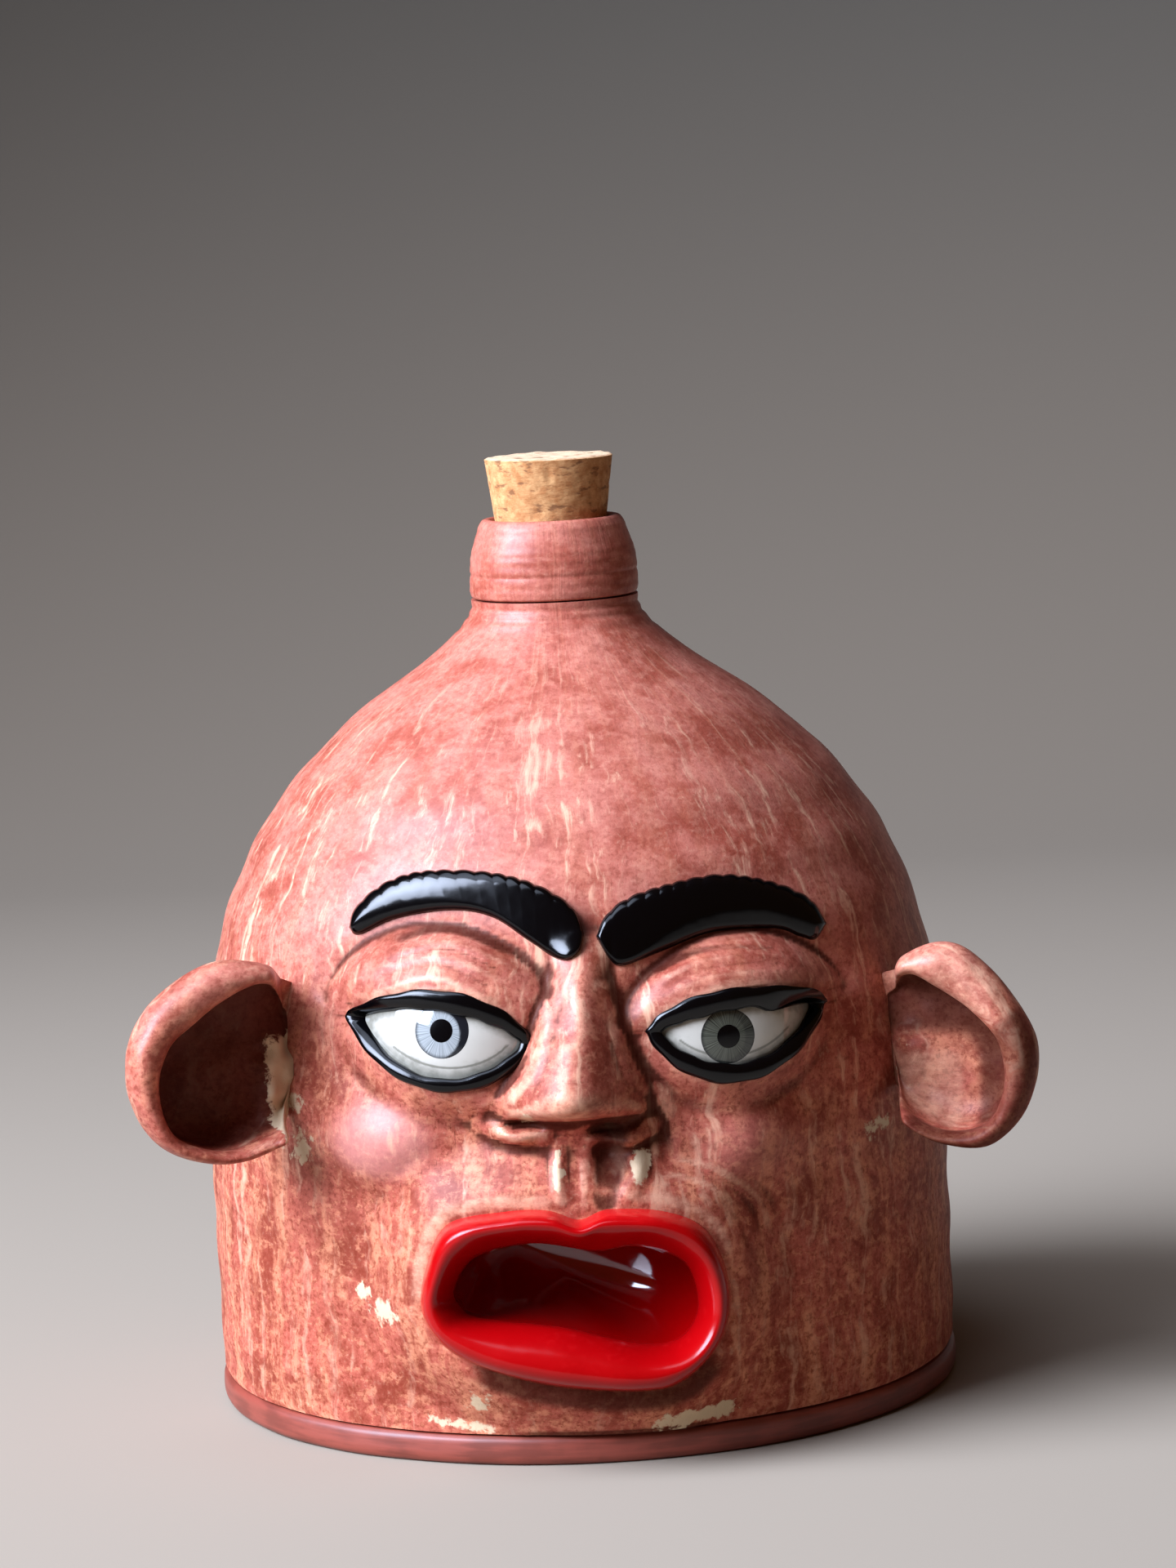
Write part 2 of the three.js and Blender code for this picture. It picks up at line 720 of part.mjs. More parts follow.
for (const side of ['left', 'right']) {
  const eye = eyes[side];
  const brow = makeBrow(brows[side]);
  const ball = makeBallSpace(eye);
  const rim = makeLidRim(eye);
  const upperLid = makeLid(eye, true, eye.upperLidWidth);
  const lowerLid = makeLid(eye, false, eye.lowerLidWidth);
  addPiece(`${side}_ear`, makeEar(ears[side], body), finishes.clay);
  addPiece(`${side}_brow`, brow, finishes.blackGlaze);
  addPiece(`${side}_eyeball`, fitAgainst(makeEyeball(eye, body), nose, brow), finishes.whiteGlaze);
  addPiece(`${side}_iris`, makeIris(eye), { color: eye.iris, roughness: 0.1 });
  addPiece(`${side}_pupil`, makePupil(eye), finishes.blackGlaze);
  addPiece(`${side}_lid_rim`, fitAgainst(rim, nose), finishes.blackGlaze);
  addPiece(`${side}_upper_lid`, fitAgainst(upperLid, ball, rim, brow, nose), finishes.clay);
  addPiece(`${side}_lower_lid`, fitAgainst(lowerLid, ball, rim, upperLid, nose), finishes.clay);
  addPiece(`${side}_cheek`, fitAgainst(makeCheek(cheeks[side]), muzzle, nose, lowerLid), finishes.clay);
}

export default jug;
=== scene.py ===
"""Looks of a hand-thrown stoneware face jug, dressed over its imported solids.

Lengths are millimetres until a mesh is made. The origin is the centre of the foot, +Z is up and the
face looks along -Y, so the jug's own left is at +X.
"""
import logging
import math
from dataclasses import dataclass, field
from enum import Enum
from itertools import product
from typing import Callable, Sequence

import bmesh
import bpy
import numpy as np
from mathutils import Matrix, Vector


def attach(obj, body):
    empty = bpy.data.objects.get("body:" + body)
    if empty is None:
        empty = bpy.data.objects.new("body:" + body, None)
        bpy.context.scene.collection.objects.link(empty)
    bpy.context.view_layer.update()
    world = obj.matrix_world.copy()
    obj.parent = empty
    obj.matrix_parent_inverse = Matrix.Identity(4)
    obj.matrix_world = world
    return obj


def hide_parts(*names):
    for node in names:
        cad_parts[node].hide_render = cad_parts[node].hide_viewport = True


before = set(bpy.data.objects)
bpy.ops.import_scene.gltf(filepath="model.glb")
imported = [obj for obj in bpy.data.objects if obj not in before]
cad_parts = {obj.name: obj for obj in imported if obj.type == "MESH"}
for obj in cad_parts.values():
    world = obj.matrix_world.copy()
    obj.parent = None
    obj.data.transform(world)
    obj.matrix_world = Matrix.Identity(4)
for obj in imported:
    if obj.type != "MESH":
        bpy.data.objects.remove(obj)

Array = np.ndarray
Point = tuple[float, float]
Link = object

LOG = logging.getLogger("face_jug")
MM = 0.001
BODY_RADIUS = 72.3
BORE = 11.276
JUG, CORK = "jug", "cork"
UV_NAME = "OFBake"
MIX_A, MIX_B, MIX_RESULT = 6, 7, 2


class Side(Enum):
    """The jug's own two sides, with the sign of X there."""

    LEFT = ("left", 1)
    RIGHT = ("right", -1)

    @property
    def label(self) -> str:
        """The side's name, as the nodes have it."""
        return self.value[0]

    @property
    def sign(self) -> int:
        """The sign of X on that side."""
        return self.value[1]


def linear(colour: str) -> tuple[float, float, float, float]:
    """Turns an sRGB hex colour to linear.

    Args:
        colour: Six hex digits after a hash sign.
    Returns:
        Linear red, green and blue, and an alpha of 1.
    """
    parts = [int(colour[i:i + 2], 16) / 255 for i in (1, 3, 5)]
    bent = [c / 12.92 if c <= 0.04045 else ((c + 0.055) / 1.055) ** 2.4 for c in parts]
    return (*bent, 1.0)


def fill(tree: bpy.types.NodeTree, node: bpy.types.Node, links: dict) -> None:
    """Links or sets a node's inputs.

    Args:
        tree: The node tree.
        node: The node.
        links: For each input, by name or number, the socket to link or the value to set.
    """
    for key, value in links.items():
        if isinstance(value, bpy.types.NodeSocket):
            tree.links.new(value, node.inputs[key])
        else:
            node.inputs[key].default_value = value


def add(tree: bpy.types.NodeTree, kind: str, links: dict, out: int | str = 0, **settings: Link) -> Link:
    """Adds a node with its settings and links.

    Args:
        tree: The node tree.
        kind: The node's type.
        links: For each input, by name or number, the socket to link or the value to set.
        out: The output that is wanted, by name or number.
        settings: The node's own properties.
    Returns:
        The wanted output socket.
    """
    node = tree.nodes.new(kind)
    for name, value in settings.items():
        setattr(node, name, value)
    fill(tree, node, links)
    return node.outputs[out]


@dataclass(frozen=True)
class Finish:
    """A made material and the slot of the record that it fills."""

    material: bpy.types.Material
    slot: str


def new_material(name: str) -> tuple[bpy.types.Material, bpy.types.NodeTree, bpy.types.Node]:
    """Adds a material.

    Args:
        name: Its name.
    Returns:
        The material, its node tree and its shader.
    """
    material = bpy.data.materials.new(name)
    material.use_nodes = True
    return material, material.node_tree, material.node_tree.nodes["Principled BSDF"]


def smooth(low: float, high: float, value: Array) -> Array:
    """A smooth step from 0 at low to 1 at high."""
    share = np.clip((value - low) / (high - low), 0, 1)
    return share * share * (3 - 2 * share)


def lerp(start: Array, end: Array, share: Array) -> Array:
    """The value a share of the way from start to end."""
    return start + (end - start) * share


def mound(distance: Array) -> Array:
    """A smooth mound: 1 at a distance of 0, and 0 from 1 on."""
    return 0.5 + 0.5 * np.cos(np.pi * np.clip(distance, 0, 1))


def merge(first: Array, second: Array, reach: float) -> Array:
    """The larger of two heights, with the clay smoothed into the corner where both stand up.

    Args:
        first: Heights.
        second: Other heights at the same places.
        reach: Difference in height over which they run into each other.
    Returns:
        The joined heights.
    """
    near = np.minimum(reach, 2 * np.clip(np.minimum(first, second), 1e-6, None))
    share = np.clip(near - np.abs(first - second), 0, None) / near
    return np.maximum(first, second) + share * share * near / 4


def curve(points: Sequence[Sequence[float]], count: int, closed: bool = False) -> Array:
    """A smooth line through points.

    Args:
        points: The points, in two or three dimensions.
        count: How many points to return, spaced evenly along the line.
        closed: Whether the line runs back to its start.
    Returns:
        An array of points.
    """
    given = np.asarray(points, float)
    if closed:
        run = np.vstack([given[-1], given, given[:2]])
    else:
        run = np.vstack([2 * given[0] - given[1], given, 2 * given[-1] - given[-2]])
    share = np.linspace(0, 1, 24, endpoint=False)[:, None]
    spans = []
    for before, start, end, after in zip(run, run[1:], run[2:], run[3:]):
        spans.append(0.5 * (
            2 * start + (end - before) * share
            + (2 * before - 5 * start + 4 * end - after) * share ** 2
            + (3 * start - before - 3 * end + after) * share ** 3
        ))
    line = np.vstack([*spans, given[:1] if closed else given[-1:]])
    along = np.concatenate([[0], np.cumsum(np.linalg.norm(np.diff(line, axis=0), axis=1))])
    wanted = np.linspace(0, along[-1], count, endpoint=not closed)
    return np.stack([np.interp(wanted, along, part) for part in line.T], axis=1)


def line_distance(x: Array, z: Array, line: Array) -> Array:
    """Distance from places on the wall to a line.

    Args:
        x: Places across.
        z: Places up.
        line: The line's points, as [x, z].
    Returns:
        Distances in the shape of x.
    """
    spot = np.stack([np.ravel(x), np.ravel(z)], axis=1)
    best = np.full(len(spot), np.inf)
    for start, end in zip(line, line[1:]):
        step = end - start
        share = np.clip((spot - start) @ step / max(step @ step, 1e-9), 0, 1)
        best = np.minimum(best, np.linalg.norm(spot - start - share[:, None] * step, axis=1))
    return best.reshape(np.shape(x))


class Lumps:
    """Smooth seeded unevenness in space, as hands leave it in clay."""

    def __init__(self, seed: int) -> None:
        """Draws the values on a lattice."""
        self.table = np.random.default_rng(seed).uniform(-1, 1, (32, 32, 32))

    def at(self, points: Array, cell: float) -> Array:
        """The unevenness at points.

        Args:
            points: Points, with x, y and z last.
            cell: Size of one lump.
        Returns:
            Values from -1 to 1.
        """
        spot = points / cell
        base = np.floor(spot).astype(int)
        part = spot - base
        part = part * part * (3 - 2 * part)
        total = np.zeros(points.shape[:-1])
        for corner in product((0, 1), repeat=3):
            weight = np.prod(np.where(corner, part, 1 - part), axis=-1)
            i, j, k = np.moveaxis((base + corner) % 32, -1, 0)
            total += weight * self.table[i, j, k]
        return total


@dataclass
class MeshDraft:
    """Vertices, faces and tints of a piece before it is made."""

    vertices: Array
    faces: list[Sequence[int]]
    tints: dict[str, Array] = field(default_factory=dict)
    places: Array | None = None
    normals: Array | None = None
    skin_faces: int = 0

    def build(self, name: str, finish: Finish, node: str, sharp: float = 50.0,
              body: str = JUG) -> bpy.types.Object:
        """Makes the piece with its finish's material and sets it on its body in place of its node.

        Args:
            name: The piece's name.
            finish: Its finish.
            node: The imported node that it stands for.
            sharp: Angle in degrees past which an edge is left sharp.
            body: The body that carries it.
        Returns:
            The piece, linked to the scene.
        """
        mesh = bpy.data.meshes.new(name)
        mesh.from_pydata((self.vertices * MM).tolist(), [], self.faces)
        turned_out = bmesh.new()
        turned_out.from_mesh(mesh)
        bmesh.ops.recalc_face_normals(turned_out, faces=turned_out.faces)
        turned_out.to_mesh(mesh)
        turned_out.free()
        for tint, values in self.tints.items():
            mesh.attributes.new(tint, "FLOAT", "POINT").data.foreach_set("value", values.astype(np.float32))
        corner = np.zeros(len(mesh.loops), np.int32)
        mesh.loops.foreach_get("vertex_index", corner)
        if self.places is not None:
            mesh.uv_layers.new(name=UV_NAME).data.foreach_set("uv", self.places[corner].ravel())
        mesh.shade_smooth()
        mesh.set_sharp_from_angle(angle=math.radians(sharp))
        if self.normals is not None:
            given = self.normals[corner]
            given[4 * self.skin_faces:] = 0
            mesh.normals_split_custom_set(given.tolist())
        mesh.materials.append(finish.material)
        piece = bpy.data.objects.new(name, mesh)
        bpy.context.scene.collection.objects.link(piece)
        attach(piece, body)
        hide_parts(node)
        LOG.info("%s: %d faces", piece.name, len(mesh.polygons))
        return piece


def loft(rings: Array, loop: bool = False) -> MeshDraft:
    """A skin over rings of points.

    Args:
        rings: Points as rings, places round and x, y, z.
        loop: Whether the last ring joins the first. If not, both are closed.
    Returns:
        The draft, with its faces outwards where the rings run clockwise seen from their start.
    """
    count, around = rings.shape[:2]
    faces = []
    for i in range(count if loop else count - 1):
        here, there = i * around, (i + 1) % count * around
        for j in range(around):
            k = (j + 1) % around
            faces.append((here + j, here + k, there + k, there + j))
    if not loop:
        faces.append(tuple(range(around))[::-1])
        faces.append(tuple(range((count - 1) * around, count * around)))
    return MeshDraft(rings.reshape(-1, 3), faces)


def turned(profile: Array, segments: int, wobble: Callable[[Array], Array] | None = None) -> MeshDraft:
    """A profile turned about +Z.

    Args:
        profile: Radius and height of each point, from the bottom up on the outside.
        segments: Points round.
        wobble: Gives how far points move outwards.
    Returns:
        The draft. A profile that starts and ends on the axis is closed by its end rings.
    """
    angle = np.arange(segments) * 2 * math.pi / segments
    radius, height = profile[:, 0][:, None], profile[:, 1][:, None]
    rings = np.stack([radius * np.sin(angle), -radius * np.cos(angle), height + 0 * angle], axis=-1)
    if wobble is not None:
        out = np.stack([np.sin(angle), -np.cos(angle), 0 * angle], axis=-1)
        rings = rings + wobble(rings)[..., None] * out
    return loft(rings)


@dataclass
class WallOutline:
    """The thrown wall's outline, and places on it."""

    body_radius: float = BODY_RADIUS
    foot: float = 5.9
    dome_start: float = 60.3
    dome_pull: float = 61.4
    shoulder_angle: float = math.radians(41.7)
    shoulder_pull: float = 20.5
    neck_radius: float = 16.276
    throat_rise: float = 7.0
    throat_flare: float = 3.9
    neck_seat: float = 154.9

    def __post_init__(self) -> None:
        """Draws the outline finely, from the foot to the neck."""
        share = np.linspace(0, 1, 300)[:, None]
        shoulder = np.array([self.neck_radius + self.throat_flare, self.neck_seat - self.throat_rise])
        slope = np.array([math.cos(self.shoulder_angle), -math.sin(self.shoulder_angle)])
        start = np.array([self.body_radius, self.dome_start])
        pull = np.array([self.body_radius, self.dome_start + self.dome_pull])
        push = shoulder + self.shoulder_pull * slope
        dome = ((1 - share) ** 3 * start + 3 * (1 - share) ** 2 * share * pull
                + 3 * (1 - share) * share ** 2 * push + share ** 3 * shoulder)
        corner = np.array([self.neck_radius, shoulder[1] + self.throat_flare * math.tan(self.shoulder_angle)])
        top = np.array([self.neck_radius, self.neck_seat])
        throat = (1 - share) ** 2 * shoulder + 2 * (1 - share) * share * corner + share ** 2 * top
        path = np.vstack([[self.body_radius, 0], dome, throat[1:]])
        step = np.gradient(path, axis=0)
        step /= np.linalg.norm(step, axis=1, keepdims=True)
        self.heights, self.radii = path[:, 1], path[:, 0]
        self.out, self.rise = step[:, 1], -step[:, 0]

    def at(self, z: Array) -> tuple[Array, Array, Array]:
        """Radius of the wall at a height, and how far its normal points out and up."""
        return tuple(np.interp(z, self.heights, part) for part in (self.radii, self.out, self.rise))

    def spot(self, x: Array, z: Array, lift: Array) -> Array:
        """Points in front of the wall at [x, z], lifted off it.

        Args:
            x: Places across, kept as they are.
            z: Heights on the wall.
            lift: Distances off the wall.
        Returns:
            Points, with x, y and z last.
        """
        radius, out, rise = self.at(z)
        reach = radius + lift * out
        depth = -np.sqrt(np.clip(reach ** 2 - x ** 2, 0, None))
        return np.stack(np.broadcast_arrays(x, depth, z + lift * rise), axis=-1)

    def normal(self, x: Array, z: Array) -> Array:
        """The wall's outward direction.

        Args:
            x: Places across.
            z: Heights on the wall.
        Returns:
            Directions of length 1, with x, y and z last.
        """
        radius, out, rise = self.at(z)
        side = np.arcsin(np.clip(x / radius, -1, 1))
        return np.stack(np.broadcast_arrays(out * np.sin(side), -out * np.cos(side), rise), axis=-1)


@dataclass
class Loop:
    """A closed outline on the wall, read by the angle round its middle."""

    points: Sequence[Point]
    middle: Point
    stretch: float = 0.6

    def __post_init__(self) -> None:
        """Reads the outline's reach at each angle."""
        line = curve(self.points, 360, closed=True) - self.middle
        line[:, 1] /= self.stretch
        angle = np.arctan2(line[:, 1], line[:, 0])
        order = np.argsort(angle)
        self.angles, self.reaches = angle[order], np.linalg.norm(line, axis=1)[order]

    def at(self, angle: Array) -> Array:
        """Points of the outline.

        Args:
            angle: Angles round the middle.
        Returns:
            Points as [x, z].
        """
        reach = np.interp(angle, self.angles, self.reaches, period=2 * math.pi)
        return np.stack([
            self.middle[0] + reach * np.cos(angle),
            self.middle[1] + reach * np.sin(angle) * self.stretch,
        ], axis=-1)

    def outside(self, x: Array, z: Array) -> Array:
        """Distance from the outline.

        Args:
            x: Places across.
            z: Places up.
        Returns:
            Distances, negative inside the outline.
        """
        line = self.at(np.linspace(-math.pi, math.pi, 181))
        away = line_distance(x, z, line)
        across, up = x - self.middle[0], (z - self.middle[1]) / self.stretch
        reach = np.interp(np.arctan2(up, across), self.angles, self.reaches, period=2 * math.pi)
        return np.where(np.hypot(across, up) < reach, -away, away)


@dataclass
class Eye:
    """One eye's sizes: the almond, the ball behind it and where it looks."""

    side: Side
    x: float
    z: float
    half_width: float
    rise: float
    drop: float
    tilt: float
    gaze: Point
    upper_width: float
    lower_width: float
    upper_rim: float
    lower_rim: float
    wall: WallOutline
    ball_radius: float = 22.0
    ball_proud: float = 6.0
    point: float = 1.5
    lid_thickness: float = 1.3
    corner_width: float = 4.0

    @property
    def centre(self) -> Array:
        """The middle of the ball."""
        spot = self.wall.spot(np.float64(self.x), np.float64(self.z), 0.0)
        return spot + (self.ball_proud - self.ball_radius) * self.wall.normal(self.x, self.z)

    def almond(self, angle: Array, margin: Array) -> tuple[Array, Array]:
        """Places round the almond.

        Args:
            angle: Angles round it.
            margin: How far outside it.
        Returns:
            Places across and up.
        """
        reach = (self.half_width + margin) * np.cos(angle)
        sine = np.sin(angle)
        height = np.where(sine > 0, self.rise, self.drop)
        away = np.sign(sine) * (height + margin) * np.abs(sine) ** self.point
        cosine, slant = math.cos(self.tilt), math.sin(self.tilt)
        return self.x + reach * cosine - away * slant, self.z + reach * slant + away * cosine

    def read(self, x: Array, z: Array) -> tuple[Array, Array]:
        """Where places on the wall lie about the almond, found by halving.

        Args:
            x: Places across.
            z: Places up.
        Returns:
            The margin outside the almond and the angle round it.
        """
        cosine, slant = math.cos(self.tilt), math.sin(self.tilt)
        across = (x - self.x) * cosine + (z - self.z) * slant
        up = (z - self.z) * cosine - (x - self.x) * slant
        height = np.where(up > 0, self.rise, self.drop)
        low, high = 0.02 - np.minimum(height, self.half_width), np.full(np.shape(x), 60.0)
        for _ in range(36):
            margin = (low + high) / 2
            share = ((np.abs(across) / (self.half_width + margin)) ** 2
                     + (np.abs(up) / (height + margin)) ** (2 / self.point))
            low, high = np.where(share > 1, margin, low), np.where(share > 1, high, margin)
        turn = np.arcsin(np.clip(np.abs(up) / (height + margin), 0, 1) ** (1 / self.point))
        turn = np.where(across < 0, math.pi - turn, turn)
        return margin, np.where(up > 0, turn, -turn)

    def on_ball(self, x: Array, z: Array, lift: float) -> Array:
        """Points on the front of the ball.

        Args:
            x: Places across.
            z: Places up.
            lift: Distance off the ball.
        Returns:
            Points, with x, y and z last.
        """
        centre = self.centre
        depth = np.sqrt(np.clip(self.ball_radius ** 2 - (x - centre[0]) ** 2 - (z - centre[2]) ** 2, 0, None))
        front = np.stack(np.broadcast_arrays(x, centre[1] - depth, z), axis=-1)
        out = front - centre
        return front + lift * out / np.linalg.norm(out, axis=-1, keepdims=True)

    def lift(self, angle: Array, margin: float, above: float) -> Array:
        """How far off the wall the ball's surface lies round the almond.

        Args:
            angle: Angles round the almond.
            margin: How far outside it.
            above: Distance off the ball.
        Returns:
            Distances off the wall.
        """
        x, z = self.almond(angle, margin)
        gap = (self.on_ball(x, z, above) - self.wall.spot(x, z, 0.0)) * self.wall.normal(x, z)
        return np.maximum(gap.sum(axis=-1), above)


@dataclass
class Lid:
    """A rolled clay lid, or the bag under the eye."""

    eye: Eye
    upper: bool
    crease_width: float = 4.2
    near_edge: float = 0.6

    @property
    def node(self) -> str:
        """The lid's node."""
        return f"{self.eye.side.label}_{'upper' if self.upper else 'lower'}_lid"

    @property
    def crease(self) -> float:
        """Depth of the crease along the lid's outer edge."""
        return 0.7 if self.upper else 0.0

    def width(self, angle: Array) -> Array:
        """How far the lid reaches from the eye."""
        full = self.eye.upper_width if self.upper else self.eye.lower_width
        return lerp(self.eye.corner_width, full, np.abs(np.sin(angle)) ** 0.7)

    def height(self, x: Array, z: Array) -> Array:
        """Height of the lid over the wall.

        Args:
            x: Places across.
            z: Places up.
        Returns:
            Heights, 0 beyond the lid.
        """
        margin, angle = self.eye.read(x, z)
        share = np.clip((margin - self.near_edge) / self.width(angle), 0, 1)
        edge = self.eye.lift(angle, self.near_edge, self.eye.lid_thickness)
        roll = edge * (np.cos(share * math.pi / 2) ** 0.9 if self.upper else mound(share))
        mine = np.sin(angle) >= 0 if self.upper else np.sin(angle) < 0
        return np.where(mine, roll, 0)

    def groove(self, x: Array, z: Array) -> Array:
        """Depth of the crease pressed in along the lid's outer edge.

        Args:
            x: Places across.
            z: Places up.
        Returns:
            Depths, 0 away from the crease.
        """
        margin, angle = self.eye.read(x, z)
        sine = np.sin(angle) if self.upper else -np.sin(angle)
        away = np.abs(margin - self.near_edge - self.width(angle)) / self.crease_width
        return self.crease * mound(away) * smooth(0.0, 0.35, sine)


@dataclass
class Nose:
    """The pinched nose: a bridge that broadens to a shelf, with two wings and their nostrils under it."""

    root: Point = (2.0, 93.0)
    base: Point = (-1.7, 61.5)
    profile: Sequence[Point] = (
        (57.0, 0.0), (60.0, 1.0), (63.0, 2.2), (65.0, 4.0), (66.2, 8.5), (67.4, 12.6), (69.4, 13.9),
        (72.0, 13.2), (76.0, 11.2), (81.0, 8.6), (87.0, 5.6), (93.0, 2.8), (99.0, 0.0),
    )
    bridge_half: float = 5.8
    base_half: float = 16.4
    wings: tuple[Sequence[Point], Sequence[Point]] = (
        ((-17.6, 64.8), (-12.0, 62.6), (-6.5, 62.2)), ((3.8, 61.2), (9.0, 61.0), (14.2, 63.0)))
    wing_height: float = 2.8
    wing_width: float = 2.6
    nostrils: tuple[Point, Point] = ((-9.2, 64.5), (5.2, 63.0))
    nostril_reach: Point = (4.0, 1.4)
    nostril_depth: float = 3.4
    node: str = "nose"

    def height(self, x: Array, z: Array) -> Array:
        """Height of the nose over the wall.

        Args:
            x: Places across.
            z: Places up.
        Returns:
            Heights, 0 beyond the nose.
        """
        drawn = curve(self.profile, 240)
        ridge = np.interp(z, drawn[:, 0], np.clip(drawn[:, 1], 0, None), left=0, right=0)
        half = lerp(self.base_half, self.bridge_half, smooth(self.base[1], self.root[1], z))
        middle = np.interp(z, (self.base[1], self.root[1]), (self.base[0], self.root[0]))
        away = np.clip(np.abs(x - middle) / half, 0, 1)
        total = ridge * (1 - away ** 1.8) ** 1.2
        for wing in self.wings:
            total = total + Stroke(wing, self.wing_height, self.wing_width).depth(x, z)
        wide, tall = self.nostril_reach
        for across, up in self.nostrils:
            away = np.hypot((x - across) / wide, (z - up) / tall)
            total = total - self.nostril_depth * mound(away * 0.8)
        return np.clip(total, 0, None)


@dataclass
class Cheek:
    """A clay pad smoothed on to the wall."""

    side: Side
    x: float
    z: float
    rub: float
    reach: Point = (17.0, 13.0)
    rise: float = 4.6

    @property
    def node(self) -> str:
        """The cheek's node."""
        return f"{self.side.label}_cheek"

    def height(self, x: Array, z: Array) -> Array:
        """Height of the pad over the wall."""
        return self.rise * mound(np.hypot((x - self.x) / self.reach[0], (z - self.z) / self.reach[1]))


@dataclass
class Muzzle:
    """The raised pad that carries the lips."""

    outline: Loop
    rise: float = 6.2
    shelf: float = 1.0
    fall: float = 13.0
    node: str = "muzzle"

    def height(self, x: Array, z: Array) -> Array:
        """Height of the pad over the wall."""
        return self.rise * (1 - smooth(self.shelf, self.fall, self.outline.outside(x, z)))


@dataclass
class Stroke:
    """A ridge or a groove drawn in the clay with a finger or a tool."""

    points: Sequence[Point]
    height: float
    width: float

    def depth(self, x: Array, z: Array) -> Array:
        """Height of the stroke, fading towards its ends.

        Args:
            x: Places across.
            z: Places up.
        Returns:
            Heights, negative in a groove.
        """
        line = curve(self.points, 28)
        near = mound(line_distance(x, z, line) / self.width)
        ends = [mound(np.hypot(x - end[0], z - end[1]) / (1.8 * self.width)) for end in (line[0], line[-1])]
        return self.height * near * (1 - 0.7 * np.maximum(*ends))


@dataclass
class ClayFace:
    """All the clay that is smoothed on to the wall, as one height over it."""

    wall: WallOutline
    eyes: Sequence[Eye]
    lids: Sequence[Lid]
    pads: Sequence[Nose | Cheek | Muzzle]
    strokes: Sequence[Stroke]
    blend: float = 2.4
    least: float = 0.3
    socket: float = -3.0

    def parts(self, x: Array, z: Array) -> dict[str, Array]:
        """The height of each piece by itself, by its node."""
        return {part.node: part.height(x, z) for part in (*self.pads, *self.lids)}

    def height(self, x: Array, z: Array, parts: dict[str, Array] | None = None) -> Array:
        """The height of the joined clay over the wall.

        Args:
            x: Places across.
            z: Heights on the wall.
            parts: The pieces' own heights, if they are known.
        Returns:
            Heights, with the eyes' sockets sunk behind their balls.
        """
        total, cheeks = np.zeros(np.shape(x)), np.zeros(np.shape(x))
        for node, part in (parts or self.parts(x, z)).items():
            if node.endswith("cheek"):
                cheeks = cheeks + part
            else:
                total = merge(total, part, self.blend)
        total = total + cheeks
        for lid in self.lids:
            total = total - lid.groove(x, z)
        for stroke in self.strokes:
            total = total + stroke.depth(x, z)
        for eye in self.eyes:
            margin, _ = eye.read(x, z)
            total = lerp(np.full(np.shape(x), self.socket), total, smooth(-1.1, 0.1, margin))
        return total

    def owner(self, parts: dict[str, Array]) -> Array:
        """For each place, the number of the piece that stands highest there, or -1 for the wall."""
        stack = np.stack(list(parts.values()))
        return np.where(stack.max(axis=0) > self.least, stack.argmax(axis=0), -1)


def steps_between(stops: Sequence[float], sizes: Sequence[float]) -> Array:
    """Values from stop to stop.

    Args:
        stops: The stops, of which the last is left out.
        sizes: About how large the steps are between each two stops.
    Returns:
        The values.
    """
    runs = []
    for start, end, size in zip(stops, stops[1:], sizes):
        runs.append(np.linspace(start, end, max(round(abs(end - start) / size), 1), endpoint=False))
    return np.concatenate(runs)


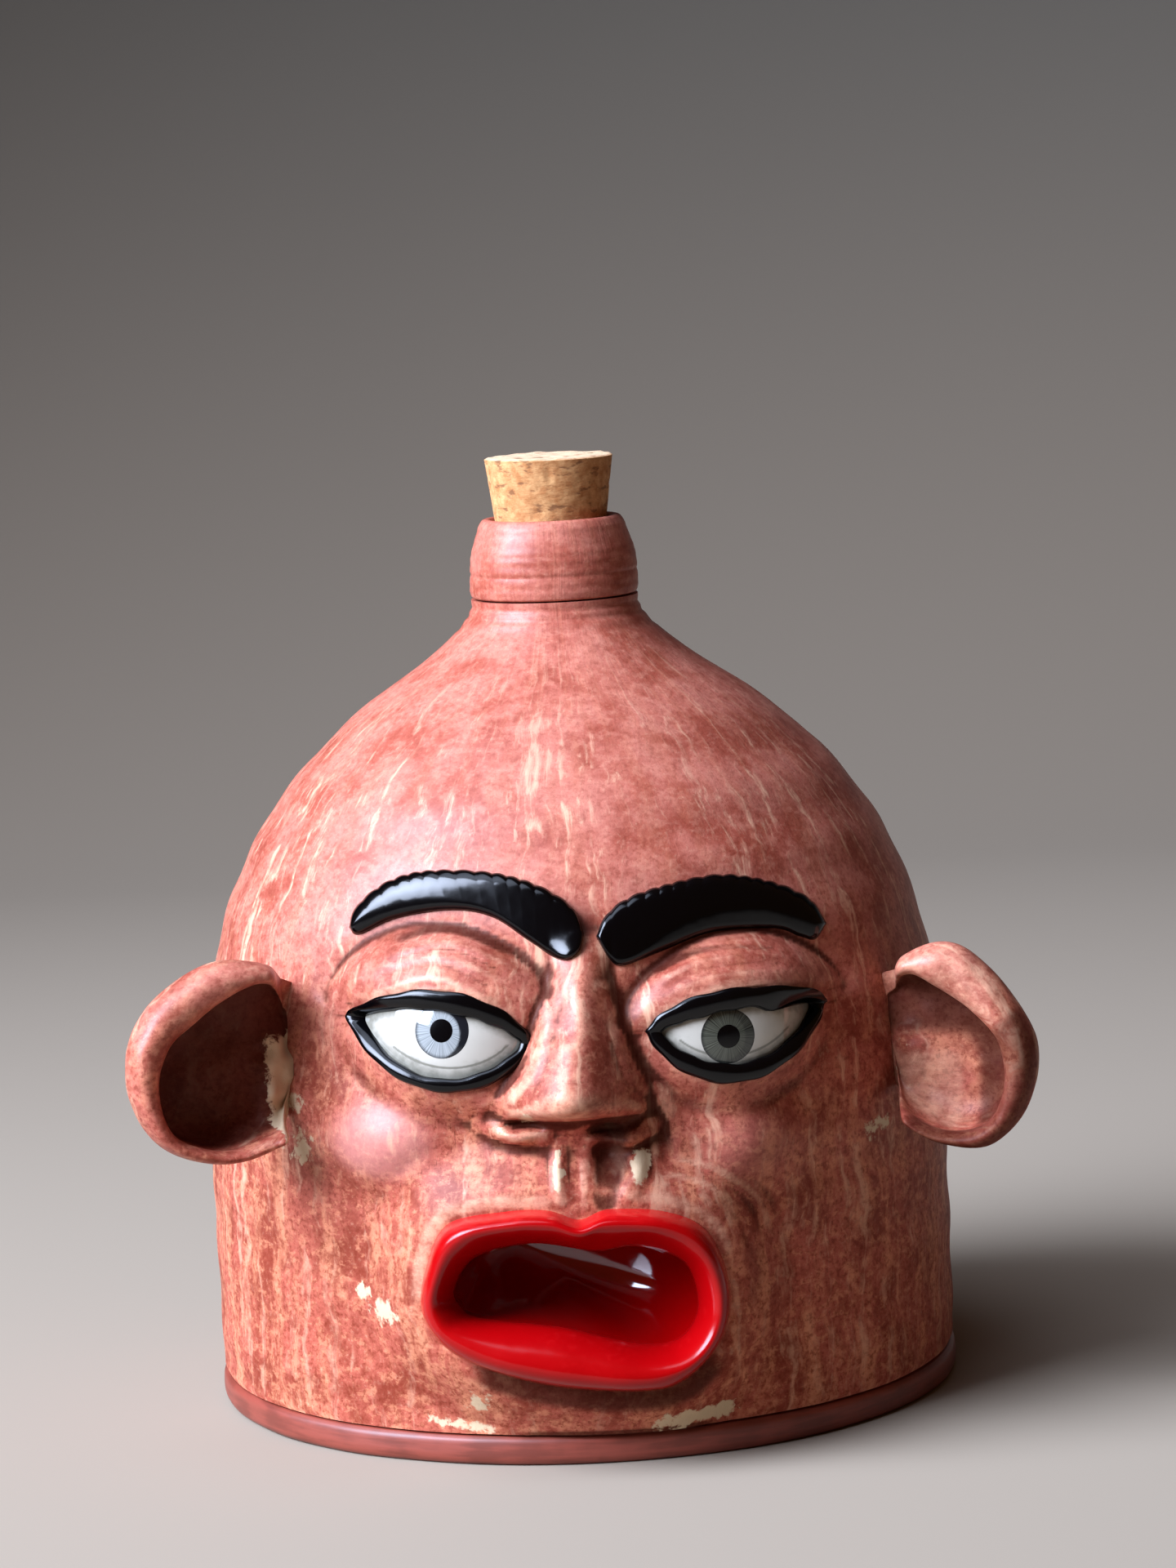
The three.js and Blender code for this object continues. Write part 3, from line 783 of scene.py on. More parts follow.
@dataclass(frozen=True)
class Stoneware:
    """Red-brown stoneware, thrown and scraped, with a thin iron wash and buff slip rubbed off it.

    Fired without a glaze, so it has a satin sheen and no mirror. The wash is uneven, scraping left pale lines
    up the wall and ridges are rubbed pale. Hollows hold painted shade over some pooled wash, and pale pink
    over the dome and the lit cheek is partly painted sheen.
    """

    slot: str = "body_clay"
    body: str = "#a65342"
    dark: str = "#742c1c"
    hollow_shade: str = "#330f08"
    buff: str = "#d08663"
    rose_rub_and_sheen: str = "#cb867c"
    line: str = "#d6a182"
    slip: str = "#cbb492"
    pink_tone_and_sheen: str = "#cc8c7a"
    glance: str = "#ffc9a8"
    roughness: float = 0.52
    sheen: float = 0.55
    round_radius: float = BODY_RADIUS
    patch_mm: float = 11.0
    band_mm: float = 4.6
    band_squeeze: float = 0.22
    line_mm: float = 3.0
    line_squeeze: float = 0.038
    mottle_mm: float = 2.7
    fleck_stretch: tuple[float, float, float] = (0.85, 0.85, 1.4)
    grain_mm: float = 1.1
    rag_mm: float = 2.4
    shake_mm: float = 7.0

    def make(self) -> Finish:
        """Builds the finish.

        Returns:
            The finish.
        """
        material, tree, shader = new_material("washed_stoneware")
        spot = add(tree, "ShaderNodeTexCoord", {}, "Object")
        mm = add(tree, "ShaderNodeVectorMath", {0: spot, 1: (1 / MM,) * 3}, operation="MULTIPLY")
        level = add(tree, "ShaderNodeSeparateXYZ", {0: mm}, "Z")
        flat = add(tree, "ShaderNodeVectorMath", {0: mm, 1: (1, 1, 0)}, operation="MULTIPLY")
        facing = add(tree, "ShaderNodeVectorMath", {0: flat}, operation="NORMALIZE")
        # Places round the wall at its full radius, squeezed in height and shaken a little, so that noise
        # is drawn out up the wall in lines that a hand made.
        full = (self.round_radius,) * 3
        arc = add(tree, "ShaderNodeVectorMath", {0: facing, 1: full}, operation="MULTIPLY")
        shake = add(tree, "ShaderNodeTexNoise", {
            "Vector": mm, "Scale": 1 / self.patch_mm, "Detail": 2.0}, "Color")
        shaken = add(tree, "ShaderNodeVectorMath", {0: shake, 1: (self.shake_mm,) * 3}, operation="MULTIPLY")
        round_wall = add(tree, "ShaderNodeVectorMath", {0: arc, 1: shaken}, operation="ADD")
        drawn = []
        for squeeze in (self.band_squeeze, self.line_squeeze):
            tall = add(tree, "ShaderNodeVectorMath", {0: mm, 1: (0, 0, squeeze)}, operation="MULTIPLY")
            drawn.append(add(tree, "ShaderNodeVectorMath", {0: round_wall, 1: tall}, operation="ADD"))
        broad, thin = drawn
        flecked = add(tree, "ShaderNodeVectorMath", {0: mm, 1: self.fleck_stretch}, operation="MULTIPLY")

        patches, mottle, grain, bands, lines, rags = (
            add(tree, "ShaderNodeTexNoise", {
                "Vector": place, "Scale": 1 / size, "Detail": detail, "Roughness": rough})
            for place, size, detail, rough in (
                (mm, self.patch_mm, 5.0, 0.6),
                (flecked, self.mottle_mm, 5.0, 0.68),
                (mm, self.grain_mm, 4.0, 0.7),
                (broad, self.band_mm, 5.0, 0.66),
                (thin, self.line_mm, 4.0, 0.62),
                (mm, self.rag_mm, 4.0, 0.65),
            ))
        ridge, slip, rub = (
            add(tree, "ShaderNodeAttribute", {}, "Fac", attribute_name=tint)
            for tint in ("ridge", "slip", "rub"))
        # Shares that change up the wall: how even the wash is, where scraping begins and is spent, and
        # where hands gave the clay a sheen.
        even, begun, spent, handled = (
            add(tree, "ShaderNodeMapRange", {
                "Value": level, "From Min": low, "From Max": high, "To Min": start, "To Max": end})
            for low, high, start, end in (
                (70.0, 120.0, 1.0, 0.5),
                (25.0, 95.0, 0.5, 1.0),
                (118.0, 150.0, 1.0, 0.1),
                (25.0, 85.0, 0.05, 1.0),
            ))
        lower = add(tree, "ShaderNodeMapRange", {
            "Value": level, "From Min": 45.0, "From Max": 115.0, "To Min": 1.0, "To Max": 0.2,
        }, interpolation_type="SMOOTHSTEP")
        upper = add(tree, "ShaderNodeMath", {0: 1.0, 1: lower}, operation="SUBTRACT")
        breaks = add(tree, "ShaderNodeMapRange", {"Value": mottle, "From Min": 0.25, "From Max": 0.46})
        lasting = add(tree, "ShaderNodeMath", {0: begun, 1: spent}, operation="MULTIPLY")
        broken = add(tree, "ShaderNodeMath", {0: breaks, 1: lasting}, operation="MULTIPLY")
        worn = add(tree, "ShaderNodeMath", {0: ridge, 1: mottle}, operation="MULTIPLY")
        ragged = add(tree, "ShaderNodeMath", {0: slip, 1: rags}, operation="ADD")
        # Each layer has its colour, what it follows, the values where that starts and is full, how much
        # of it there is then, and where on the jug.
        colour = linear(self.body)
        for above, value, low, high, most, share in (
            (self.dark, patches, 0.58, 0.36, 0.75, even),
            # Pale pink over the upper dome, partly the clay's tone and partly a painted sheen.
            (self.pink_tone_and_sheen, patches, 0.36, 0.66, 0.38, upper),
            (self.pink_tone_and_sheen, mottle, 0.49, 0.62, 0.22, upper),
            (self.buff, bands, 0.45, 0.66, 0.66, lower),
            (self.buff, mottle, 0.51, 0.64, 0.5, lower),
            (self.dark, mottle, 0.48, 0.37, 0.4, even),
            (self.dark, grain, 0.52, 0.34, 0.7, even),
            (self.line, grain, 0.55, 0.76, 0.28, 1.0),
            # Rubbed rose on the cheeks, partly a painted highlight.
            (self.rose_rub_and_sheen, rub, 0.0, 1.0, 0.55, 1.0),
            (self.line, lines, 0.53, 0.74, 0.95, broken),
            # Ridges rubbed pale, with the strokes' painted highlight on top.
            (self.line, worn, 0.12, 0.7, 0.6, 1.0),
            # Painted shade: hollows, and strokes on the side away from the lamp, darken to this colour,
            # partly over pooled wash.
            (self.hollow_shade, ridge, -0.2, -1.0, 0.86, 1.0),
            (self.slip, ragged, 0.92, 1.06, 0.9, 1.0),
        ):
            step = add(tree, "ShaderNodeMapRange", {
                "Value": value, "From Min": low, "From Max": high, "To Max": most,
            }, interpolation_type="SMOOTHSTEP")
            amount = add(tree, "ShaderNodeMath", {0: step, 1: share}, operation="MULTIPLY")
            colour = add(tree, "ShaderNodeMix", {0: amount, MIX_A: colour, MIX_B: linear(above)}, MIX_RESULT,
                         data_type="RGBA")

        rough = add(tree, "ShaderNodeMapRange", {
            "Value": grain, "From Min": 0.3, "From Max": 0.7,
            "To Min": self.roughness + 0.08, "To Max": self.roughness - 0.06})
        open_clay = add(tree, "ShaderNodeMapRange", {
            "Value": ridge, "From Min": -0.9, "From Max": 0.0, "To Min": 0.1, "To Max": self.sheen})
        coat = add(tree, "ShaderNodeMath", {0: open_clay, 1: handled}, operation="MULTIPLY")
        marks = add(tree, "ShaderNodeMath", {0: grain, 1: lines}, operation="ADD")
        bump = add(tree, "ShaderNodeBump", {"Height": marks, "Strength": 0.45, "Distance": 0.2 * MM})
        fill(tree, shader, {
            "Base Color": colour, "Roughness": rough, "Specular IOR Level": 0.1,
            "Specular Tint": linear(self.glance), "Coat Weight": coat, "Coat Roughness": 0.42,
            "Normal": bump})
        return Finish(material, self.slot)


@dataclass(frozen=True)
class RedClay:
    """Bare red stoneware of the base, smoothed with a wet finger round and round, satin to matt."""

    slot: str = "base_clay"
    body: str = "#84392a"
    dark: str = "#6c2c1e"
    roughness: float = 0.48
    patch_mm: float = 9.0
    ring_mm: float = 1.0
    ring_stretch: tuple[float, float, float] = (0.08, 0.08, 1)

    def make(self) -> Finish:
        """Builds the finish.

        Returns:
            The finish.
        """
        material, tree, shader = new_material("bare_red_stoneware")
        spot = add(tree, "ShaderNodeTexCoord", {}, "Object")
        mm = add(tree, "ShaderNodeVectorMath", {0: spot, 1: (1 / MM,) * 3}, operation="MULTIPLY")
        drawn = add(tree, "ShaderNodeVectorMath", {0: mm, 1: self.ring_stretch}, operation="MULTIPLY")
        patches = add(tree, "ShaderNodeTexNoise", {"Vector": mm, "Scale": 1 / self.patch_mm, "Detail": 6.0})
        rings = add(tree, "ShaderNodeTexNoise", {"Vector": drawn, "Scale": 1 / self.ring_mm, "Detail": 3.0})
        both = add(tree, "ShaderNodeMath", {0: patches, 1: rings}, operation="ADD")
        share = add(tree, "ShaderNodeMapRange", {
            "Value": both, "From Min": 0.75, "From Max": 1.15}, interpolation_type="SMOOTHSTEP")
        colour = add(tree, "ShaderNodeMix", {
            0: share, MIX_A: linear(self.dark), MIX_B: linear(self.body)}, MIX_RESULT, data_type="RGBA")
        bump = add(tree, "ShaderNodeBump", {"Height": rings, "Strength": 0.3, "Distance": 0.15 * MM})
        fill(tree, shader, {
            "Base Color": colour, "Roughness": self.roughness, "Coat Weight": 0.08, "Coat Roughness": 0.4,
            "Normal": bump})
        return Finish(material, self.slot)


@dataclass(frozen=True)
class GlossGlaze:
    """A fired gloss glaze: a coloured skin under a glassy one, a little uneven where it ran.

    It mirrors the window in soft pools, and it thins to its paler colour over edges.
    """

    name: str
    slot: str
    deep: str
    thin: str
    roughness: float = 0.09
    ior: float = 1.6
    pool_mm: float = 7.0
    fine_mm: float = 1.4
    ripple: float = 0.25

    def make(self) -> Finish:
        """Builds the finish.

        Returns:
            The finish.
        """
        material, tree, shader = new_material(self.name)
        spot = add(tree, "ShaderNodeTexCoord", {}, "Object")
        pools, fine = (
            add(tree, "ShaderNodeTexNoise", {"Vector": spot, "Scale": 1 / (size * MM), "Detail": detail})
            for size, detail in ((self.pool_mm, 2.0), (self.fine_mm, 4.0)))
        edge = add(tree, "ShaderNodeAttribute", {}, "Fac", attribute_name="thin")
        both = add(tree, "ShaderNodeMath", {0: fine, 1: pools}, operation="MULTIPLY")
        spent = add(tree, "ShaderNodeMath", {0: both, 1: edge}, operation="ADD")
        share = add(tree, "ShaderNodeMapRange", {
            "Value": spent, "From Min": 0.25, "From Max": 0.95}, interpolation_type="SMOOTHSTEP")
        colour = add(tree, "ShaderNodeMix", {
            0: share, MIX_A: linear(self.deep), MIX_B: linear(self.thin)}, MIX_RESULT, data_type="RGBA")
        bump = add(tree, "ShaderNodeBump", {"Height": pools, "Strength": self.ripple, "Distance": 0.6 * MM})
        fill(tree, shader, {
            "Base Color": colour, "Roughness": self.roughness, "IOR": self.ior, "Normal": bump})
        return Finish(material, self.slot)


@dataclass(frozen=True)
class PaintedIris:
    """An underglaze iris with fine spokes and a dark rim, under clear gloss glaze."""

    name: str
    slot: str
    pale: str
    deep: str
    rim: str = "#14161a"
    spoke_mm: float = 0.5
    roughness: float = 0.08
    ior: float = 1.6

    def make(self) -> Finish:
        """Builds the finish.

        Returns:
            The finish.
        """
        material, tree, shader = new_material(self.name)
        across, crescent, spoke = (
            add(tree, "ShaderNodeAttribute", {}, "Fac", attribute_name=tint)
            for tint in ("across", "crescent", "spoke"))
        fibres = add(tree, "ShaderNodeTexNoise", {"W": spoke, "Scale": 1 / self.spoke_mm, "Detail": 3.0},
                     noise_dimensions="1D")
        share = add(tree, "ShaderNodeMapRange", {"Value": fibres, "From Min": 0.3, "From Max": 0.7})
        colour = add(tree, "ShaderNodeMix", {
            0: share, MIX_A: linear(self.deep), MIX_B: linear(self.pale)}, MIX_RESULT, data_type="RGBA")
        edge = add(tree, "ShaderNodeMapRange", {
            "Value": across, "From Min": 0.84, "From Max": 1.0, "To Max": 0.7,
        }, interpolation_type="SMOOTHSTEP")
        dark = add(tree, "ShaderNodeMath", {0: edge, 1: crescent}, operation="MAXIMUM")
        whole = add(tree, "ShaderNodeMix", {0: dark, MIX_A: colour, MIX_B: linear(self.rim)}, MIX_RESULT,
                    data_type="RGBA")
        fill(tree, shader, {"Base Color": whole, "Roughness": self.roughness, "IOR": self.ior})
        return Finish(material, self.slot)


@dataclass(frozen=True)
class NaturalCork:
    """Cork bark, cut and sanded: tan cells with darker grain and brown pores, quite matt."""

    slot: str = "cork"
    body: str = "#a56b39"
    pale: str = "#c7945f"
    pore: str = "#6f421f"
    cut: str = "#e0c4a2"
    roughness: float = 0.85
    grain_mm: float = 2.2
    pore_mm: float = 1.5
    pore_stretch: tuple[float, float, float] = (0.45, 0.45, 1.3)

    def make(self) -> Finish:
        """Builds the finish.

        Returns:
            The finish.
        """
        material, tree, shader = new_material("natural_cork")
        spot = add(tree, "ShaderNodeTexCoord", {}, "Object")
        mm = add(tree, "ShaderNodeVectorMath", {0: spot, 1: (1 / MM,) * 3}, operation="MULTIPLY")
        grain = add(tree, "ShaderNodeTexNoise", {
            "Vector": mm, "Scale": 1 / self.grain_mm, "Detail": 6.0, "Roughness": 0.65})
        drawn = add(tree, "ShaderNodeVectorMath", {0: mm, 1: self.pore_stretch}, operation="MULTIPLY")
        pores = add(tree, "ShaderNodeTexNoise", {
            "Vector": drawn, "Scale": 1 / self.pore_mm, "Detail": 3.0, "Roughness": 0.6})
        share = add(tree, "ShaderNodeMapRange", {"Value": grain, "From Min": 0.38, "From Max": 0.64})
        colour = add(tree, "ShaderNodeMix", {
            0: share, MIX_A: linear(self.body), MIX_B: linear(self.pale)}, MIX_RESULT, data_type="RGBA")
        cut = add(tree, "ShaderNodeAttribute", {}, "Fac", attribute_name="cut")
        deep = add(tree, "ShaderNodeMapRange", {
            "Value": pores, "From Min": 0.55, "From Max": 0.68, "To Max": 0.8,
        }, interpolation_type="SMOOTHSTEP")
        for amount, above in ((cut, self.cut), (deep, self.pore)):
            colour = add(tree, "ShaderNodeMix", {0: amount, MIX_A: colour, MIX_B: linear(above)}, MIX_RESULT,
                         data_type="RGBA")
        bump = add(tree, "ShaderNodeBump", {
            "Height": pores, "Strength": 0.5, "Distance": 0.4 * MM}, invert=True)
        fill(tree, shader, {"Base Color": colour, "Roughness": self.roughness, "Normal": bump})
        return Finish(material, self.slot)


@dataclass
class ClayBody:
    """The thrown wall with the face's clay smoothed on to it, one piece for each of its nodes."""

    wall: WallOutline
    face: ClayFace
    hole: Loop
    clay: Finish
    slips: Sequence[tuple[float, float, float]]
    smears: Sequence[Stroke]
    shade_and_highlight_strokes: Sequence[Stroke]
    thickness: float = 5.0
    bore: float = BORE
    backing: float = 1.6
    sink: float = 1.2
    skin_depth: float = 0.6
    face_half_angle: float = 50.0
    front_half_angle: float = 80.0
    face_top: float = 112.0
    side_angle: float = 75.0
    fine_angle: float = 0.6
    side_step: float = 1.5
    back_step: float = 3.0
    foot_top: float = 9.0
    shoulder: float = 140.0
    throat: float = 150.0
    foot_step: float = 0.6
    fine_step: float = 0.75
    dome_step: float = 1.6
    shoulder_step: float = 0.9
    throat_step: float = 0.5
    fade_above: float = 6.0
    far_off: float = 500.0
    mouth_reach: Point = (40.0, 60.0)
    edge_sink: float = 0.05
    cover_sink: float = 0.2
    foot_tuck: float = 0.993
    rubs: Sequence[Point] = ((0.16, 24.0), (0.12, 8.0), (0.05, 3.0))
    ring_depth: float = 0.16
    ring_length: float = 2.1
    ring_drift: float = 0.8
    drift_length: float = 9.0
    neck_lines: Sequence[float] = (153.4, 151.6, 149.4)
    neck_line_depth: float = 0.3
    neck_line_width: float = 0.55
    neck_calm: float = 6.0
    spreads: Sequence[tuple[int, float]] = ((1, 1.6), (3, 0.4))
    full_ridge: float = 0.42
    slip_share: float = 0.62
    lumps: Lumps = field(default_factory=lambda: Lumps(11))

    def grid(self) -> None:
        """Lays out the columns round the wall and the rows up it, finer on the face."""
        edge, side, top = self.face_half_angle, self.side_angle, self.wall.neck_seat
        self.angle = np.radians(steps_between(
            (-180, -side, -edge, edge, side, 180),
            (self.back_step, self.side_step, self.fine_angle, self.side_step, self.back_step)))
        rows = steps_between(
            (self.wall.foot + 0.5, self.foot_top, self.face_top, self.shoulder, self.throat, top + 1e-6),
            (self.foot_step, self.fine_step, self.dome_step, self.shoulder_step, self.throat_step))
        self.row = np.concatenate([rows, [top]])
        self.x = self.wall.at(self.row)[0][:, None] * np.sin(self.angle)
        self.z = np.broadcast_to(self.row[:, None], self.x.shape)
        self.faces_front = np.abs(self.angle)[None, :] < math.radians(self.front_half_angle)
        shown = self.faces_front & (self.z < self.face_top + self.fade_above)
        # Places that carry no clay are read from far off to the side.
        across = np.where(shown, self.x, self.far_off)
        parts = self.face.parts(across, self.z)
        self.heights = {name: np.where(shown, part, 0) for name, part in parts.items()}
        self.height = np.where(shown, self.face.height(across, self.z, self.heights), 0)
        self.owned = np.where(shown, self.face.owner(self.heights), -1)

    def skin(self, lift: Array) -> Array:
        """Points of the grid off the wall, with the hand's unevenness.

        Args:
            lift: Distances off the wall.
        Returns:
            Points by row and column, with x, y and z last.
        """
        radius, out, rise = (part[:, None] for part in self.wall.at(self.row))
        sine, cosine = np.sin(self.angle), np.cos(self.angle)
        plain = np.stack([radius * sine, -radius * cosine, self.z], axis=-1)
        rub = sum(depth * self.lumps.at(plain, cell) for depth, cell in self.rubs)
        drift = self.ring_drift * np.sin(self.row / self.drift_length)
        ring = self.ring_depth * np.sin(self.row / self.ring_length + drift)[:, None]
        cuts = [np.exp(-((self.row - level) / self.neck_line_width) ** 2) for level in self.neck_lines]
        groove = sum(-self.neck_line_depth * cut for cut in cuts)[:, None]
        calm = smooth(self.wall.neck_seat, self.wall.neck_seat - self.neck_calm, self.z)
        near = self.wall.spot(radius * sine, self.z, lift)
        reach = radius + lift * out
        far = np.stack([reach * sine, -reach * cosine, self.z + lift * rise], axis=-1)
        points = np.where(self.faces_front[..., None], near, far)
        push = (rub + ring * (1 - np.clip(self.height, 0, 1))) * calm + groove
        away = np.stack([out * sine, -out * cosine, rise + 0 * sine], axis=-1)
        return points + push[..., None] * away

    def curvature(self) -> Array:
        """How far each place stands out from the clay round it.

        Returns:
            Values from -1 in hollows to 1 on ridges.
        """
        total = np.zeros(self.height.shape)
        for reach, weight in self.spreads:
            spread = self.height
            for _ in range(reach * 2):
                below, above = np.vstack([spread[:1], spread[:-1]]), np.vstack([spread[1:], spread[-1:]])
                spread = 0.25 * (np.roll(spread, 1, 1) + np.roll(spread, -1, 1) + below + above)
            total += weight * (self.height - spread)
        return np.clip(total / self.full_ridge, -1, 1)

    def slab(self, front: Array, back: Array, shape: Array, keep: Array,
             tints: dict[str, Array]) -> MeshDraft:
        """A closed slab between two skins, over the cells that are kept.

        Args:
            front: Outer points by row and column.
            back: Inner points by row and column.
            shape: The joined clay's points, which the outer skin is shaded by.
            keep: Which cells are kept.
            tints: Values for the grid's places.
        Returns:
            The draft, with its map laid out by row and column.
        """
        rows, columns = front.shape[:2]
        index = np.arange(rows * columns).reshape(rows, columns)
        right = np.roll(index, -1, 1)
        corners = np.stack([index[:-1], right[:-1], right[1:], index[1:]], axis=-1)
        shift = rows * columns
        faces = [corners[keep], corners[keep][:, ::-1] + shift]
        beside = (
            np.vstack([np.zeros((1, columns), bool), keep[:-1]]),
            np.roll(keep, -1, 1),
            np.vstack([keep[1:], np.zeros((1, columns), bool)]),
            np.roll(keep, 1, 1),
        )
        for k, other in enumerate(beside):
            edge = keep & ~other
            start, end = corners[edge][:, k], corners[edge][:, (k + 1) % 4]
            faces.append(np.stack([end, start, start + shift, end + shift], axis=-1))
        joined = np.vstack(faces)
        used, packed = np.unique(joined, return_inverse=True)
        points = np.vstack([front.reshape(-1, 3), back.reshape(-1, 3)])[used]
        # On the map the outer skin lies above a strip that holds the inner one.
        share = np.stack(np.broadcast_arrays(
            (self.angle / math.pi + 1) / 2, ((self.row - self.row[0]) / np.ptp(self.row))[:, None]), axis=-1)
        outer = share * (1, 0.8) + (0, 0.2)
        inner = share * (1, 0.18)
        places = np.vstack([outer.reshape(-1, 2), inner.reshape(-1, 2)])[used]
        values = {name: np.concatenate([part.ravel()] * 2)[used] for name, part in tints.items()}
        along = np.roll(shape, -1, 1) - np.roll(shape, 1, 1)
        normal = np.cross(along, np.gradient(shape, axis=0))
        normal /= np.linalg.norm(normal, axis=-1, keepdims=True)
        normals = np.vstack([normal.reshape(-1, 3)] * 2)[used]
        quads = packed.reshape(joined.shape).tolist()
        return MeshDraft(points, quads, values, places, normals, int(keep.sum()))

    def build(self) -> list[bpy.types.Object]:
        """Makes the wall and each piece of clay on it.

        Returns:
            The pieces.
        """
        self.grid()
        beside = np.roll(self.owned, -1, 1)
        corner = np.stack([self.owned[:-1], beside[:-1], beside[1:], self.owned[1:]])
        cell = np.where((corner == corner[0]).all(axis=0), corner[0], -1)
        middle_x = 0.5 * (self.x[:-1] + np.roll(self.x, -1, 1)[1:])
        middle_z = 0.5 * (self.z[:-1] + self.z[1:])
        wide, high = self.mouth_reach
        near = self.faces_front & (np.abs(middle_x) < wide) & (middle_z < high)
        inside = np.zeros(cell.shape, bool)
        inside[near] = self.hole.outside(middle_x[near], middle_z[near]) < 0
        front = self.skin(self.height)
        under = self.height - self.skin_depth
        back = self.skin(np.minimum(under, -self.backing))
        # The curvature becomes painted shade in hollows and a paler tint on ridges.
        ridge = self.curvature()
        # The strokes add painted shade and painted highlight to the curvature's tint.
        for wash in self.shade_and_highlight_strokes:
            ridge = ridge + np.where(self.faces_front, wash.depth(self.x, self.z), 0)
        tints = {"ridge": np.clip(ridge, -1, 1), "slip": self.slip(), "rub": self.rubbed()}
        pieces = []
        # The wall lies just under the clay's edges and well under its middle.
        sunk, touched = np.zeros((2, *self.height.shape), bool)
        for number, node in enumerate(self.heights):
            keep = (cell == number) & ~inside
            pieces.append(self.slab(front, back, front, keep, tints).build(node + "_clay", self.clay, node))
            both = keep & np.roll(keep, 1, 1)
            either = keep | np.roll(keep, 1, 1)
            sunk[1:-1] |= both[:-1] & both[1:]
            touched[:-1] |= either
            touched[1:] |= either
        ring = sunk & np.roll(sunk, 1, 1) & np.roll(sunk, -1, 1)
        deep = np.zeros(sunk.shape, bool)
        deep[1:-1] = ring[1:-1] & sunk[:-2] & sunk[2:]
        lift = self.height - self.edge_sink * touched - self.cover_sink * sunk
        outer = self.skin(np.where(deep, np.minimum(under, -self.sink), lift))
        outer[0] = outer[1] * (1, 1, 0) * self.foot_tuck + (0, 0, self.wall.foot)
        radius, out, rise = (part[:, None] for part in self.wall.at(self.row))
        reach = np.maximum(radius - self.thickness * out, self.bore)
        inner = np.stack([reach * np.sin(self.angle), -reach * np.cos(self.angle),
                          np.minimum(self.z - self.thickness * rise, self.wall.neck_seat)], axis=-1)
        inner[0, :, 2] = self.wall.foot
        draft = self.slab(outer, inner, front, ~inside, tints)
        pieces.append(draft.build("thrown_wall", self.clay, "jug_wall"))
        return pieces

    def rubbed(self) -> Array:
        """How far a thumb rubbed the wash off the cheeks, most on the cheek towards the lamp, where it is
        partly a painted highlight.

        Returns:
            Values from 0 to 1.
        """
        cheeks = [pad for pad in self.face.pads if isinstance(pad, Cheek)]
        parts = [pad.rub * smooth(0.1, 0.85, self.heights[pad.node] / pad.rise) for pad in cheeks]
        return sum(parts)

    def slip(self) -> Array:
        """Where cream slip was left on the clay.

        Returns:
            Amounts from 0 up, which the finish cuts to a ragged edge.
        """
        total = np.zeros(self.height.shape)
        for x, z, reach in self.slips:
            away = np.hypot(self.x - x, self.z - z) / reach
            total = np.maximum(total, np.where(self.faces_front, self.slip_share * mound(away), 0))
        for smear in self.smears:
            total = np.maximum(total, np.where(self.faces_front, smear.depth(self.x, self.z), 0))
        return total


